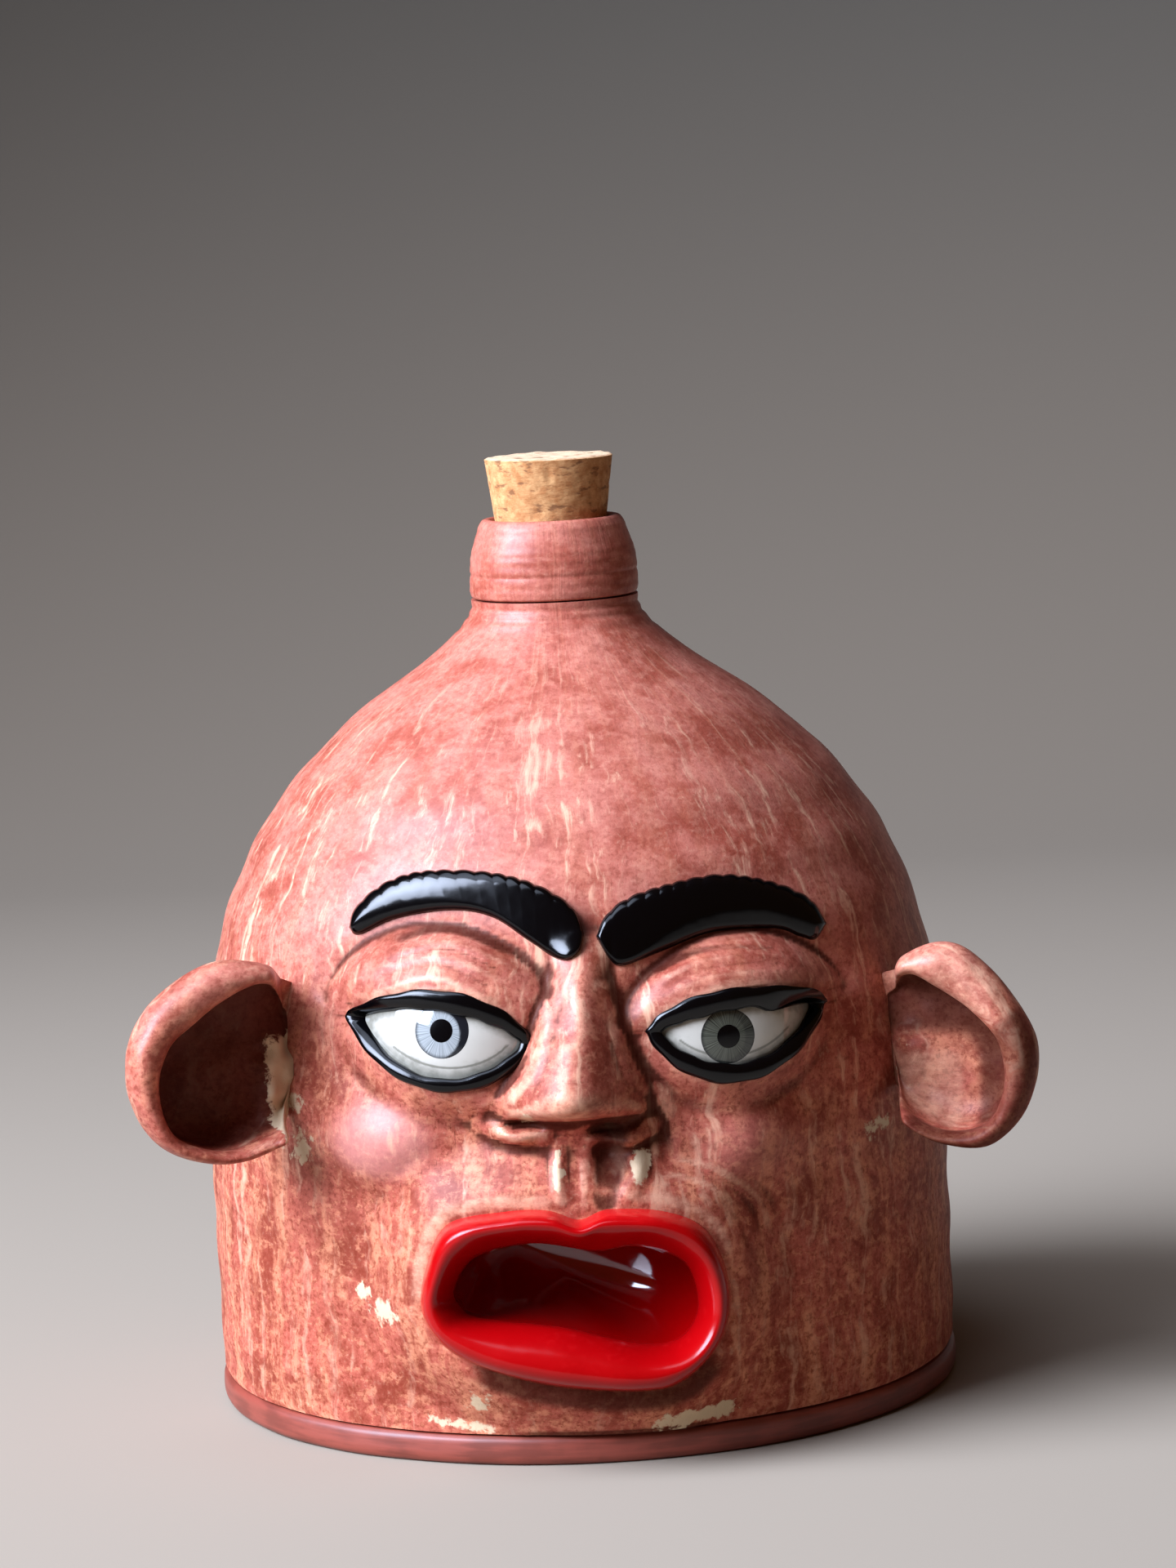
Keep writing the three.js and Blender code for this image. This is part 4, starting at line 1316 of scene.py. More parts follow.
@dataclass
class EyeSet:
    """The glazed ball, iris, pupil and black rim of one eye."""

    eye: Eye
    white: Finish
    iris: Finish
    black: Finish
    crescent: float
    fill_angle: float
    corner_fill: float
    iris_radius: float = 5.1
    pupil_radius: float = 2.1
    inlay: float = 1.6
    gap: float = 0.06
    pin: float = 0.02
    margin: float = 1.1
    back: float = 4.0
    drawn_margin: float = -3.0
    rim_height: float = 0.9
    rim_lift: float = 1.0
    rim_least: float = 1.3

    def to_gaze(self, points: Array) -> Array:
        """Turns points from +Z to the line of sight, about the ball's middle.

        Args:
            points: Points about +Z, with x, y and z last.
        Returns:
            The turned points.
        """
        centre = self.eye.centre
        x, z = (np.float64(part) for part in self.eye.gaze)
        sight = Vector(self.eye.on_ball(x, z, 0.0) - centre)
        turn = np.array(Vector((0, 0, 1)).rotation_difference(sight).to_matrix())
        return points @ turn.T + centre

    def arc(self, start: float, end: float, count: int) -> Array:
        """Points on the ball between two distances from the line of sight.

        Args:
            start: The first distance.
            end: The last.
            count: How many points.
        Returns:
            Points as radius and height.
        """
        first, last = (math.asin(reach / self.eye.ball_radius) for reach in (start, end))
        angle = np.linspace(first, last, count)
        return self.eye.ball_radius * np.stack([np.sin(angle), np.cos(angle)], axis=-1)

    def build(self) -> list[bpy.types.Object]:
        """Makes the eye's four pieces.

        Returns:
            The pieces.
        """
        label = self.eye.side.label
        return [
            self.ball().build(f"{label}_eye_white", self.white, f"{label}_eyeball"),
            self.ring().build(f"{label}_eye_iris", self.iris, f"{label}_iris"),
            self.dot().build(f"{label}_eye_pupil", self.black, f"{label}_pupil"),
            self.rim().build(f"{label}_eye_rim", self.black, f"{label}_lid_rim"),
        ]

    def ball(self, segments: int = 160, steps: int = 36) -> MeshDraft:
        """The part of the ball that shows between the lids, let in for the iris.

        Args:
            segments: Points round.
            steps: Rings from the iris to the lids.
        Returns:
            The draft, with its glaze greyed towards the lids as painted shade, and thin along a drawn line.
        """
        eye, iris, floor = self.eye, self.iris_radius, self.eye.ball_radius - self.inlay
        socket = np.vstack([[[self.pin, floor]], [[iris, floor]], self.arc(iris, iris, 1)])
        inner = self.to_gaze(turned(socket, segments).vertices).reshape(3, segments, 3)
        edge = np.stack(eye.almond(np.linspace(0, 2 * math.pi, 720), self.margin), axis=-1) - eye.gaze
        bearing = np.arctan2(edge[:, 1], edge[:, 0])
        order = np.argsort(bearing)
        start = inner[2][:, [0, 2]]
        way = start - eye.gaze
        turn = np.arctan2(way[:, 1], way[:, 0])
        reach = np.interp(turn, bearing[order], np.linalg.norm(edge, axis=1)[order], period=2 * math.pi)
        end = eye.gaze + reach[:, None] * np.stack([np.cos(turn), np.sin(turn)], axis=-1)
        flat = lerp(start, end, np.linspace(0, 1, steps)[1:, None, None])
        front = eye.on_ball(flat[..., 0], flat[..., 1], 0.0)
        behind, middle = (eye.on_ball(*lerp(eye.gaze, end, share).T, -self.back) for share in (0.98, 0.02))
        draft = loft(np.concatenate([inner, front, behind[None], middle[None]]))
        margin, _ = eye.read(draft.vertices[:, 0], draft.vertices[:, 2])
        drawn = mound(np.abs(margin - self.drawn_margin) / 0.45) * (draft.vertices[:, 2] < eye.z - 2)
        # Painted shade: the white greys towards the lids that shade it.
        draft.tints["thin"] = np.maximum(0.55 * smooth(-4.6, -1.0, margin), 0.8 * drawn)
        return draft

    def ring(self, segments: int = 96) -> MeshDraft:
        """The iris.

        Args:
            segments: Points round.
        Returns:
            The draft, with the share across it, its spokes and its dark crescent as tints.
        """
        floor = self.eye.ball_radius - self.inlay + self.gap
        hole, edge = self.pupil_radius + self.gap, self.iris_radius - self.gap
        profile = np.vstack([[[hole, floor]], [[edge, floor]], self.arc(edge, hole, 12)])
        draft = loft(turned(profile, segments).vertices.reshape(len(profile), segments, 3), loop=True)
        x, y = draft.vertices[:, 0], draft.vertices[:, 1]
        draft.tints["across"] = np.hypot(x, y) / self.iris_radius
        draft.tints["spoke"] = 8 * np.abs(np.arctan2(x, -y))
        draft.tints["crescent"] = self.crescent * smooth(4.2, 4.6, np.hypot(x + 1.1, y + 0.4))
        draft.vertices = self.to_gaze(draft.vertices)
        return draft

    def dot(self, segments: int = 72) -> MeshDraft:
        """The pupil.

        Args:
            segments: Points round.
        Returns:
            The draft.
        """
        floor, edge = self.eye.ball_radius - self.inlay + self.gap, self.pupil_radius
        profile = np.vstack([[[self.pin, floor]], [[edge, floor]], self.arc(edge, self.pin, 8)])
        draft = turned(profile, segments)
        draft.vertices = self.to_gaze(draft.vertices)
        return draft

    def rim(self, count: int = 160, around: int = 14) -> MeshDraft:
        """The black band laid round the opening of the eye.

        Args:
            count: Sections along the band.
            around: Points round each section.
        Returns:
            The draft.
        """
        eye = self.eye
        angle = np.arange(count) * 2 * math.pi / count
        x, z = eye.almond(angle, 0.0)
        out_x, out_z = eye.almond(angle, 1.0)
        out = np.stack([out_x - x, 0 * x, out_z - z], axis=-1)
        out /= np.linalg.norm(out, axis=-1, keepdims=True)
        front = eye.wall.normal(x, z)
        front -= (front * out).sum(axis=-1, keepdims=True) * out
        front /= np.linalg.norm(front, axis=-1, keepdims=True)
        middle = eye.on_ball(x, z, self.rim_lift)
        low = ((middle - eye.wall.spot(x, z, 0.0)) * eye.wall.normal(x, z)).sum(axis=-1)
        middle = middle + front * np.maximum(self.rim_least - low, 0)[:, None]
        # The band's two widths are smoothed into each other, and it fills one corner of the eye.
        half = np.where(np.sin(angle) > 0, eye.upper_rim, eye.lower_rim)
        half = half * lerp(0.85, 1.0, np.abs(np.sin(angle)))
        half = np.convolve(np.concatenate([half[-6:], half, half[:6]]), np.ones(13) / 13, "valid")
        turn = (angle - self.fill_angle + math.pi) % (2 * math.pi) - math.pi
        fill = self.corner_fill * np.exp(-(turn / 0.42) ** 2)
        half = half * (1 + 0.16 * np.sin(5 * angle + 1) * np.sin(8 * angle + self.fill_angle))
        middle = middle - out * (fill * 0.6)[:, None]
        section = np.arange(around) * 2 * math.pi / around
        rings = (middle[:, None] - out[:, None] * ((half + fill)[:, None] * np.cos(section))[..., None]
                 + front[:, None] * (self.rim_height * np.sin(section))[None, :, None])
        return loft(rings, loop=True)


@dataclass
class Brow:
    """A clay strip in black glaze, notched along its upper edge."""

    side: Side
    upper: Sequence[Point]
    lower: Sequence[Point]
    face: ClayFace
    black: Finish
    rise: float = 2.3
    round_over: float = 2.6
    lower_turn: float = 0.9
    notches: int = 17
    notch: float = 0.32
    steps: int = 240
    across: int = 22

    def build(self) -> bpy.types.Object:
        """Makes the strip.

        Returns:
            The brow's piece.
        """
        share = np.linspace(0, 1, self.steps)
        top, low = curve(self.upper, self.steps), curve(self.lower, self.steps)
        along = np.gradient(top, axis=0)
        normal = np.stack([-along[:, 1], along[:, 0]], axis=1) / np.linalg.norm(along, axis=1, keepdims=True)
        normal *= np.sign(((top - low) * normal).sum(axis=1).mean())
        # The notches fade out towards the ends.
        ends = smooth(0.05, 0.16, share) * smooth(0.97, 0.84, share)
        scallop = np.abs(np.sin(math.pi * self.notches * (share + 0.012 * np.sin(19 * share)))) ** 0.8
        top = top + normal * ((scallop - 0.75) * self.notch * ends)[:, None]
        wide = 0.5 - 0.5 * np.cos(np.linspace(0, math.pi, self.across))
        flat = lerp(low[:, None], top[:, None], wide[:, None])
        # The strip is rounded over along its upper edge and turns in sharply along its lower one.
        half = 0.5 * np.linalg.norm(top - low, axis=1)
        edge = np.minimum(wide, 1 - wide)[None, :] * 2 * half[:, None]
        tip = np.minimum(share, 1 - share)[:, None] * np.linalg.norm(along, axis=1).sum()
        edge = np.minimum(edge, tip)
        turn = np.clip(edge / lerp(self.lower_turn, self.round_over, smooth(0.2, 0.6, wide)), 0, 1)
        full = self.rise * lerp(0.55, 1.0, wide)[None, :]
        lift = full * np.sqrt(1 - (1 - turn) ** 2) + 0.35 * np.clip(edge / 4, 0, 1)
        seat = self.face.height(flat[..., 0], flat[..., 1])
        upper = self.face.wall.spot(flat[..., 0], flat[..., 1], seat + lift - 0.15)
        lower = self.face.wall.spot(flat[..., 0], flat[..., 1], np.minimum(seat - 0.6, 0))
        rings = np.concatenate([upper, lower[:, ::-1]], axis=1)
        if self.side is Side.LEFT:
            rings = rings[:, ::-1]
        label = self.side.label
        return loft(rings).build(f"{label}_brow_strip", self.black, f"{label}_brow", 75)


@dataclass
class Mouth:
    """The two red lips and the pocket behind them."""

    wall: WallOutline
    outer: Loop
    inner: Loop
    red: Finish
    pooled: Finish
    seat: float = 5.0
    crest: float = 13.0
    depth: float = 20.0
    shell: float = 2.4
    deepest: Point = (-12.0, 38.5)
    count: int = 200
    around: int = 26
    lumps: Lumps = field(default_factory=lambda: Lumps(23))

    def lips(self) -> list[bpy.types.Object]:
        """Makes the upper and the lower lip, which meet at the corners of the mouth.

        Returns:
            The two pieces.
        """
        pieces = []
        for name, start, lean in (("upper_lip", 0.0, 0.44), ("lower_lip", math.pi, 0.72)):
            angle = start + np.linspace(0, math.pi, self.count // 2 + 1)
            outer, inner = self.outer.at(angle), self.inner.at(angle)
            turn = np.linspace(0, math.pi, self.around)
            wide = 0.5 - 0.5 * np.cos(turn)
            flat = lerp(outer[:, None], inner[:, None], wide[:, None])
            across, up = flat[..., 0], flat[..., 1]
            # The roll is steep outside and slopes long towards the pocket, less so in the middle of the
            # lower lip.
            slope = lerp(0.56, lean, np.sin(np.linspace(0, math.pi, len(angle))))[:, None]
            swell = np.sin(math.pi * wide ** slope) ** 0.7
            uneven = 0.3 * self.lumps.at(np.stack([across, 0 * across, up], axis=-1), 7.0)
            top = self.wall.spot(across, up, self.seat + (self.crest - self.seat + uneven) * swell)
            under = self.wall.spot(across, up, np.full(flat.shape[:2], self.seat - 1.5))
            rings = np.concatenate([top, under[:, ::-1][:, ::3]], axis=1)
            draft = loft(rings)
            thin = np.zeros(rings.shape[:2])
            thin[:, :self.around] = 0.6 * mound(turn / 0.9)
            draft.tints["thin"] = thin.ravel()
            pieces.append(draft.build(f"{name}_roll", self.red, name, 75))
        return pieces

    def pocket(self) -> bpy.types.Object:
        """Makes the glazed pocket, as an inner and an outer skin.

        Returns:
            The pocket's piece.
        """
        angle = np.arange(self.count) * 2 * math.pi / self.count
        rim = self.inner.at(angle)
        out = rim - np.array(self.inner.middle)
        out /= np.linalg.norm(out, axis=1, keepdims=True)
        rings = []
        for grow, depth, order in ((0.0, self.depth, -1), (self.shell, self.depth + self.shell, 1)):
            for step in np.linspace(0, math.pi / 2 * 0.985, 26)[::order]:
                share = math.cos(step) ** 0.9
                flat = lerp(np.array(self.deepest), rim + (0.9 + grow) * out, share)
                lift = lerp(self.seat + 1.2, -depth, math.sin(step))
                rings.append(self.wall.spot(flat[:, 0], flat[:, 1], np.full(self.count, lift)))
        return loft(np.stack(rings)).build("mouth_pocket", self.pooled, "mouth_cup", 75)


@dataclass
class Ear:
    """A pinched clay cup with a rolled rim, whose side next to the face runs back into the wall."""

    side: Side
    bearing: float
    z: float
    half_width: float
    outline: Sequence[Point]
    bowl: Sequence[Point]
    slip: float
    hollow_shade: Point
    crest: Point
    wall: WallOutline
    clay: Finish
    swing: float = math.radians(20)
    seat: float = 1.0
    press: float = 13.0
    bite: float = 1.5
    bowl_depth: float = 9.5
    ridge_height: float = 2.6
    middle: Point = (1.0, -0.5)
    count: int = 160
    lumps: Lumps = field(default_factory=lambda: Lumps(37))

    def build(self) -> bpy.types.Object:
        """Makes the ear.

        Returns:
            The ear's piece.
        """
        sign = self.side.sign
        out = np.array([sign * math.cos(self.swing), -math.sin(self.swing), 0])
        facing = np.array([-sign * math.sin(self.swing), -math.cos(self.swing), 0])
        bearing = sign * math.radians(self.bearing)
        radius = float(self.wall.at(self.z)[0])
        root = np.array([radius * math.sin(bearing), -radius * math.cos(bearing), self.z])
        root = root + out * (self.half_width - self.seat)
        angle = np.arange(self.count) * 2 * math.pi / self.count
        edge = Loop(self.outline, self.middle, 1.0).at(angle) - self.middle
        bowl = Loop(self.bowl, self.middle, 1.0).at(angle) - self.middle
        # Each point is a share of the bowl's edge, a share of the outer edge and a share of the bowl's
        # depth.
        profile = curve((
            (0.02, 0, -1.0), (0.5, 0, -1.0), (0.8, 0, -0.95), (0.96, 0, -0.74), (1.02, 0, -0.38),
            (1.0, 0, -0.06), (0.82, 0.18, 0.19), (0.5, 0.5, 0.27), (0.2, 0.8, 0.16), (0.02, 0.98, -0.12),
            (0, 1.0, -0.34), (0, 0.95, -0.64), (0, 0.84, -0.98), (0, 0.64, -1.26), (0, 0.34, -1.44),
            (0, 0.02, -1.48),
        ), 60)
        inner, outer, level = (part[:, None] for part in profile.T)
        flat = inner[..., None] * bowl + outer[..., None] * edge
        across, up = self.middle[0] + flat[..., 0], self.middle[1] + flat[..., 1]
        front = np.arange(len(profile))[:, None] < 0.55 * len(profile)
        spot = np.stack([across, 0 * across, up], axis=-1)
        # A ragged ridge of slip holds the cup to the wall, on its side next to the face.
        joint = smooth(-5, -9, across) * smooth(7, 0, up) * front
        ragged = np.clip(0.8 + 0.7 * self.lumps.at(spot, 2.6), 0.2, None)
        ridge = self.ridge_height * joint * ragged * self.slip
        # There the rolled rim flattens out and the cup is pressed back.
        rolled = 1 - smooth(-6, -13, across)
        share = np.minimum(level, -1) + np.clip(level + 1, 0, None) * rolled
        deep = share * self.bowl_depth + ridge
        deep = deep - self.press * np.clip(-across / self.half_width, 0, None) ** 3
        points = root + across[..., None] * out + deep[..., None] * facing
        points = points + up[..., None] * np.array([0, 0, 1.0])
        uneven = 0.5 * self.lumps.at(points, 9) + 0.25 * self.lumps.at(points, 3.2)
        points = points + uneven[..., None] * facing
        # What would stand in front of the wall there or deep in it is brought to the wall's skin.
        skin, reach = self.wall.at(points[..., 2])[0], np.hypot(points[..., 0], points[..., 1])
        proud = lerp(60.0, -1.0, smooth(-0.3, -0.68, across / self.half_width)) + ridge
        points[..., :2] *= (np.clip(reach, skin - self.bite, skin + proud) / reach)[..., None]
        draft = loft(points)
        draft.tints["slip"] = (0.68 * self.slip * joint).ravel()
        # Painted light and shade: the rim and the bowl are paled or darkened by how each faces the lamp.
        rim = smooth(-0.6, 0.0, level) * lerp(*self.crest, smooth(0, 10, across - up))
        shade = lerp(*self.hollow_shade, smooth(3, -5, up) * smooth(7, 0, across))
        draft.tints["ridge"] = (rim - front * (smooth(-0.2, -0.7, level) * shade)).ravel()
        label = self.side.label
        return draft.build(f"{label}_ear_cup", self.clay, f"{label}_ear", 80)


@dataclass
class Neck:
    """The thrown collar on the shoulder."""

    wall: WallOutline
    clay: Finish
    bore: float = BORE
    collar_height: float = 15.5
    rim_thickness: float = 3.0
    segments: int = 144
    lumps: Lumps = field(default_factory=lambda: Lumps(41))

    def wobble(self, points: Array) -> Array:
        """Throwing lines and the hand's unevenness.

        Args:
            points: Points on the collar.
        Returns:
            How far each moves outwards.
        """
        foot, level = self.wall.neck_seat + 0.3, points[..., 2]
        outside = np.hypot(points[..., 0], points[..., 1]) > self.bore + 0.8
        lines = 0.03 * np.sin(level * 3.1 + 0.7 * np.sin(level)) + 0.12 * self.lumps.at(points, 7)
        cut = -0.14 * np.exp(-((level - foot - 4.6) / 0.4) ** 2)
        return smooth(foot, foot + 1.5, level) * outside * (lines + cut)

    def build(self) -> bpy.types.Object:
        """Makes the collar.

        Returns:
            The collar's piece.
        """
        foot, radius = self.wall.neck_seat + 0.3, self.wall.neck_radius
        rim = self.wall.neck_seat + self.collar_height
        lip = self.bore + self.rim_thickness
        outside = curve((
            (radius - 0.5, foot), (radius - 0.05, foot + 0.5), (radius + 0.1, foot + 2.5),
            (radius - 0.25, foot + 8), (lip + 0.6, rim - 3.2), (lip, rim - 1.4), (lip - 0.7, rim - 0.3),
            (lip - 1.6, rim), (self.bore + 0.6, rim - 0.25), (self.bore, rim - 1.2),
        ), 90)
        inside = np.stack([np.full(8, self.bore), np.linspace(rim - 2, foot, 8)], axis=1)
        profile = np.vstack([outside, inside])
        rings = turned(profile, self.segments, self.wobble).vertices
        draft = loft(rings.reshape(len(profile), self.segments, 3), loop=True)
        return draft.build("neck_ring", self.clay, "neck_collar", 60)


@dataclass
class Stopper:
    """The tapered cork."""

    cork: Finish
    rim: float = 170.4
    top_radius: float = 12.5
    taper: float = 0.127
    proud: float = 12.0
    inserted: float = 16.0
    lumps: Lumps = field(default_factory=lambda: Lumps(53))

    def wobble(self, points: Array) -> Array:
        """Pores and crumbled edges.

        Args:
            points: Points on the cork.
        Returns:
            How far each moves outwards.
        """
        edge = np.hypot(points[..., 0], points[..., 1]) > 3
        inside = points[..., 2] < self.rim
        pit = np.clip(self.lumps.at(points, 1.7) - 0.45, 0, None)
        return np.where(edge, 0.1 * self.lumps.at(points, 5) - 0.55 * pit, 0) * np.where(inside, 0.3, 1)

    def build(self) -> bpy.types.Object:
        """Makes the cork, with its uneven cut faces.

        Returns:
            The cork's piece.
        """
        top, bottom = self.rim + self.proud, self.rim - self.inserted
        low = self.top_radius - self.taper * (top - bottom)
        side = np.linspace(0, 1, 40)[:, None]
        wall = lerp(np.array([[low, bottom + 0.5]]), np.array([[self.top_radius, top - 0.45]]), side)
        cap = np.stack([np.linspace(self.top_radius - 0.5, 0.03, 14), np.full(14, top)], axis=1)
        profile = np.vstack([[[0.03, bottom]], [[low * 0.6, bottom]], [[low - 0.5, bottom]], wall, cap])
        draft = turned(profile, 160, self.wobble)
        flat = draft.vertices[:, 2] > top - 0.1
        draft.tints["cut"] = 0.6 * flat
        draft.vertices[flat, 2] += 0.18 * self.lumps.at(draft.vertices[flat], 2.2) - 0.15
        return draft.build("tapered_cork", self.cork, "cork_stopper", 40, CORK)


@dataclass
class Base:
    """The flat round base."""

    clay: Finish
    radius: float = 72.5
    height: float = 5.6
    bevel: float = 1.3
    lumps: Lumps = field(default_factory=lambda: Lumps(61))

    def wobble(self, points: Array) -> Array:
        """A hand-cut edge."""
        return np.where(np.hypot(points[..., 0], points[..., 1]) > 60, 0.3 * self.lumps.at(points, 16), 0)

    def build(self) -> bpy.types.Object:
        """Makes the slab, with its soft edges and uneven seam.

        Returns:
            The base's piece.
        """
        radius, height = self.radius, self.height
        edge = curve((
            (radius - self.bevel, 0.0), (radius - 0.45, 0.5), (radius, self.bevel + 0.2),
            (radius + 0.05, height * 0.55), (radius - 0.15, height - 0.9), (radius - 0.9, height - 0.1),
        ), 26)
        profile = np.vstack([[[0.05, 0.0]], [[radius * 0.6, 0.0]], edge,
                             [[radius - 3, height]], [[0.05, height]]])
        return turned(profile, 300, self.wobble).build("base_disc", self.clay, "base_slab", 50)


@dataclass(frozen=True)
class Lamp:
    """A soft lamp: where it hangs, its width and height, in metres, and its power in watts."""

    name: str
    spot: tuple[float, float, float]
    size: Point
    power: float


@dataclass
class Studio:
    """The pale sweep, soft lamps and camera. The lengths of the sweep are metres."""

    pitch: float = math.radians(7.2)
    roll: float = math.radians(2.6)
    target: tuple[float, float, float] = (4.855, 0.0, 117.6)
    distance: float = 1000.0
    pixel: float = 0.160
    frame_height: int = 1920
    sensor: float = 36.0
    lamps: Sequence[Lamp] = (
        Lamp("window", (-1.05, -0.54, 0.86), (1.05, 1.0), 24.5),
        Lamp("sky", (-0.45, -0.3, 1.4), (1.0, 1.0), 2.8),
    )
    spread: float = math.radians(80)
    aim: tuple[float, float, float] = (0.0, 0.0, 0.08)
    daylight: str = "#d6e4ff"
    room: str = "#ffb674"
    room_strength: float = 0.078
    floor: str = "#918473"
    backdrop: str = "#686c66"
    sweep_front: float = -2.4
    sweep_half: float = 2.6
    sweep_top: float = 2.6
    cove_start: float = 0.7
    cove_radius: float = 0.6

    def camera(self) -> None:
        """Sets the camera at the photograph's angle."""
        data = bpy.data.cameras.new("camera")
        data.sensor_fit, data.sensor_height = "VERTICAL", self.sensor
        data.lens = self.sensor * self.distance / (self.frame_height * self.pixel)
        forward = Vector((0, math.cos(self.pitch), -math.sin(self.pitch)))
        up = Vector((0, math.sin(self.pitch), math.cos(self.pitch)))
        across = Vector((1, 0, 0))
        top = up * math.cos(self.roll) + across * math.sin(self.roll)
        right = across * math.cos(self.roll) - up * math.sin(self.roll)
        spot = (Vector(self.target) - forward * self.distance) * MM
        camera = bpy.data.objects.new("camera", data)
        camera.matrix_world = Matrix.Translation(spot) @ Matrix((right, top, -forward)).transposed().to_4x4()
        bpy.context.scene.collection.objects.link(camera)
        bpy.context.scene.camera = camera

    def hang(self, lamp: Lamp) -> None:
        """Hangs a lamp, facing the jug.

        Args:
            lamp: The lamp.
        """
        data = bpy.data.lights.new(lamp.name, "AREA")
        data.shape, data.size, data.size_y = "RECTANGLE", *lamp.size
        data.energy, data.color, data.spread = lamp.power, linear(self.daylight)[:3], self.spread
        hung = bpy.data.objects.new(lamp.name, data)
        turn = (Vector(self.aim) - Vector(lamp.spot)).to_track_quat("-Z", "Y")
        hung.matrix_world = Matrix.Translation(lamp.spot) @ turn.to_matrix().to_4x4()
        bpy.context.scene.collection.objects.link(hung)

    def sweep(self) -> None:
        """Adds the pale floor, which curves up behind."""
        material, tree, shader = new_material("pale_paper")
        height = add(tree, "ShaderNodeSeparateXYZ", {0: add(tree, "ShaderNodeTexCoord", {}, "Object")}, "Z")
        share = add(tree, "ShaderNodeMapRange", {
            "Value": height, "From Min": 0.0, "From Max": self.cove_radius}, interpolation_type="SMOOTHSTEP")
        paper = add(tree, "ShaderNodeMix", {
            0: share, MIX_A: linear(self.floor), MIX_B: linear(self.backdrop)}, MIX_RESULT, data_type="RGBA")
        fill(tree, shader, {"Base Color": paper, "Roughness": 0.9})
        bend, radius = np.linspace(0, math.pi / 2, 24), self.cove_radius
        cove = np.stack([self.cove_start + radius * np.sin(bend), radius - radius * np.cos(bend)], axis=1)
        line = np.vstack([[[self.sweep_front, 0.0]], cove, [[self.cove_start + radius, self.sweep_top]]])
        points = [(x, y, z) for y, z in line for x in (-self.sweep_half, self.sweep_half)]
        faces = [(2 * i, 2 * i + 1, 2 * i + 3, 2 * i + 2) for i in range(len(line) - 1)]
        mesh = bpy.data.meshes.new("floor")
        mesh.from_pydata(points, [], faces)
        mesh.shade_smooth()
        mesh.materials.append(material)
        floor = bpy.data.objects.new("floor", mesh)
        bpy.context.scene.collection.objects.link(floor)

    def build(self) -> None:
        """Sets the whole stage."""
        scene = bpy.context.scene
        scene.view_settings.view_transform = "Standard"
        world = bpy.data.worlds.new("room")
        scene.world = world
        world.use_nodes = True
        sky = world.node_tree.nodes["Background"]
        sky.inputs["Color"].default_value = linear(self.room)
        sky.inputs["Strength"].default_value = self.room_strength
        self.sweep()
        for lamp in self.lamps:
            self.hang(lamp)
        self.camera()


# Outlines of the lips' outer and inner edges, as x and z on the wall.
LIP_OUTER = (
    (-29.9, 30.0), (-28.8, 39.0), (-24.5, 47.0), (-14.0, 49.4), (-6.0, 49.5), (-0.4, 47.6), (5.0, 49.2),
    (15.0, 48.2), (23.0, 43.7), (26.7, 33.0), (25.0, 24.0), (18.0, 16.8), (10.0, 15.2), (-8.0, 17.2),
    (-23.6, 22.4),
)
LIP_INNER = (
    (-23.8, 34.7), (-19.5, 40.8), (-9.0, 43.2), (2.3, 41.4), (10.0, 41.8), (18.4, 38.1), (20.7, 30.0),
    (17.8, 24.3), (11.0, 23.1), (-4.0, 27.0), (-19.0, 29.0), (-22.8, 31.2),
)
MOUTH_MIDDLE = (-1.4, 33.4)
# The upper and the lower edge of each brow.
BROWS = {
    Side.RIGHT: (
        ((-40.9, 99.2), (-39.5, 102.8), (-34.0, 107.3), (-26.0, 109.7), (-14.0, 109.5), (-5.0, 107.0),
         (1.0, 103.0), (2.9, 98.3)),
        ((-40.9, 99.2), (-39.0, 98.1), (-32.0, 101.3), (-22.0, 103.0), (-14.0, 101.8), (-7.0, 97.2),
         (-1.5, 93.7), (1.7, 94.8), (2.9, 98.3)),
    ),
    Side.LEFT: (
        ((5.0, 97.6), (7.0, 101.3), (12.0, 104.4), (22.0, 106.4), (30.0, 106.5), (39.0, 103.9), (45.5, 100.0),
         (48.4, 95.2)),
        ((5.0, 97.6), (7.3, 93.6), (9.8, 92.3), (17.0, 94.3), (26.5, 96.8), (38.0, 96.0), (43.0, 93.8),
         (46.0, 92.8), (48.4, 95.2)),
    ),
}
# Each ear's bearing, height, half width, outline, bowl, slip, and the painted shade in its hollow and the
# painted light and shade on its crest.
EARS = {
    Side.RIGHT: (37.8, 76.6, 20.4, (
        (3.5, 18.7), (-5.0, 18.0), (-11.0, 14.6), (-15.6, 7.0), (-16.4, -3.0), (-12.4, -12.6), (-6.6, -17.0),
        (2.2, -19.0), (10.5, -17.2), (16.5, -12.9), (20.4, -5.0), (20.4, 3.7), (17.4, 9.8), (12.0, 14.8),
    ), (
        (-8.9, 12.6), (-4.6, 14.3), (1.4, 12.3), (7.4, 8.4), (12.6, 4.2), (15.2, -2.0), (14.6, -8.6),
        (11.6, -13.4), (4.1, -16.2), (-2.5, -15.4), (-9.5, -12.0), (-14.0, -3.0), (-13.0, 7.0),
    ), 1.0, (1.0, 0.9), (0.5, 0.3)),
    Side.LEFT: (46.2, 72.5, 18.0, (
        (0.0, 19.2), (4.4, 18.4), (8.6, 15.2), (12.5, 11.2), (16.2, 5.5), (18.2, 0.0), (17.8, -7.0),
        (14.6, -14.0), (8.6, -19.0), (2.0, -19.1), (-5.2, -16.4), (-10.6, -11.8), (-14.6, -3.0), (-13.6, 7.0),
        (-9.8, 14.0), (-5.0, 17.6),
    ), (
        (-8.6, 11.9), (-4.6, 13.4), (-0.3, 11.2), (6.0, 7.0), (10.8, 2.0), (12.4, -3.7), (11.8, -9.5),
        (8.6, -14.4), (2.1, -16.2), (-4.4, -14.4), (-10.0, -9.0), (-12.5, 0.0), (-11.4, 8.0),
    ), 0.45, (0.9, -0.9), (0.7, -0.8)),
}
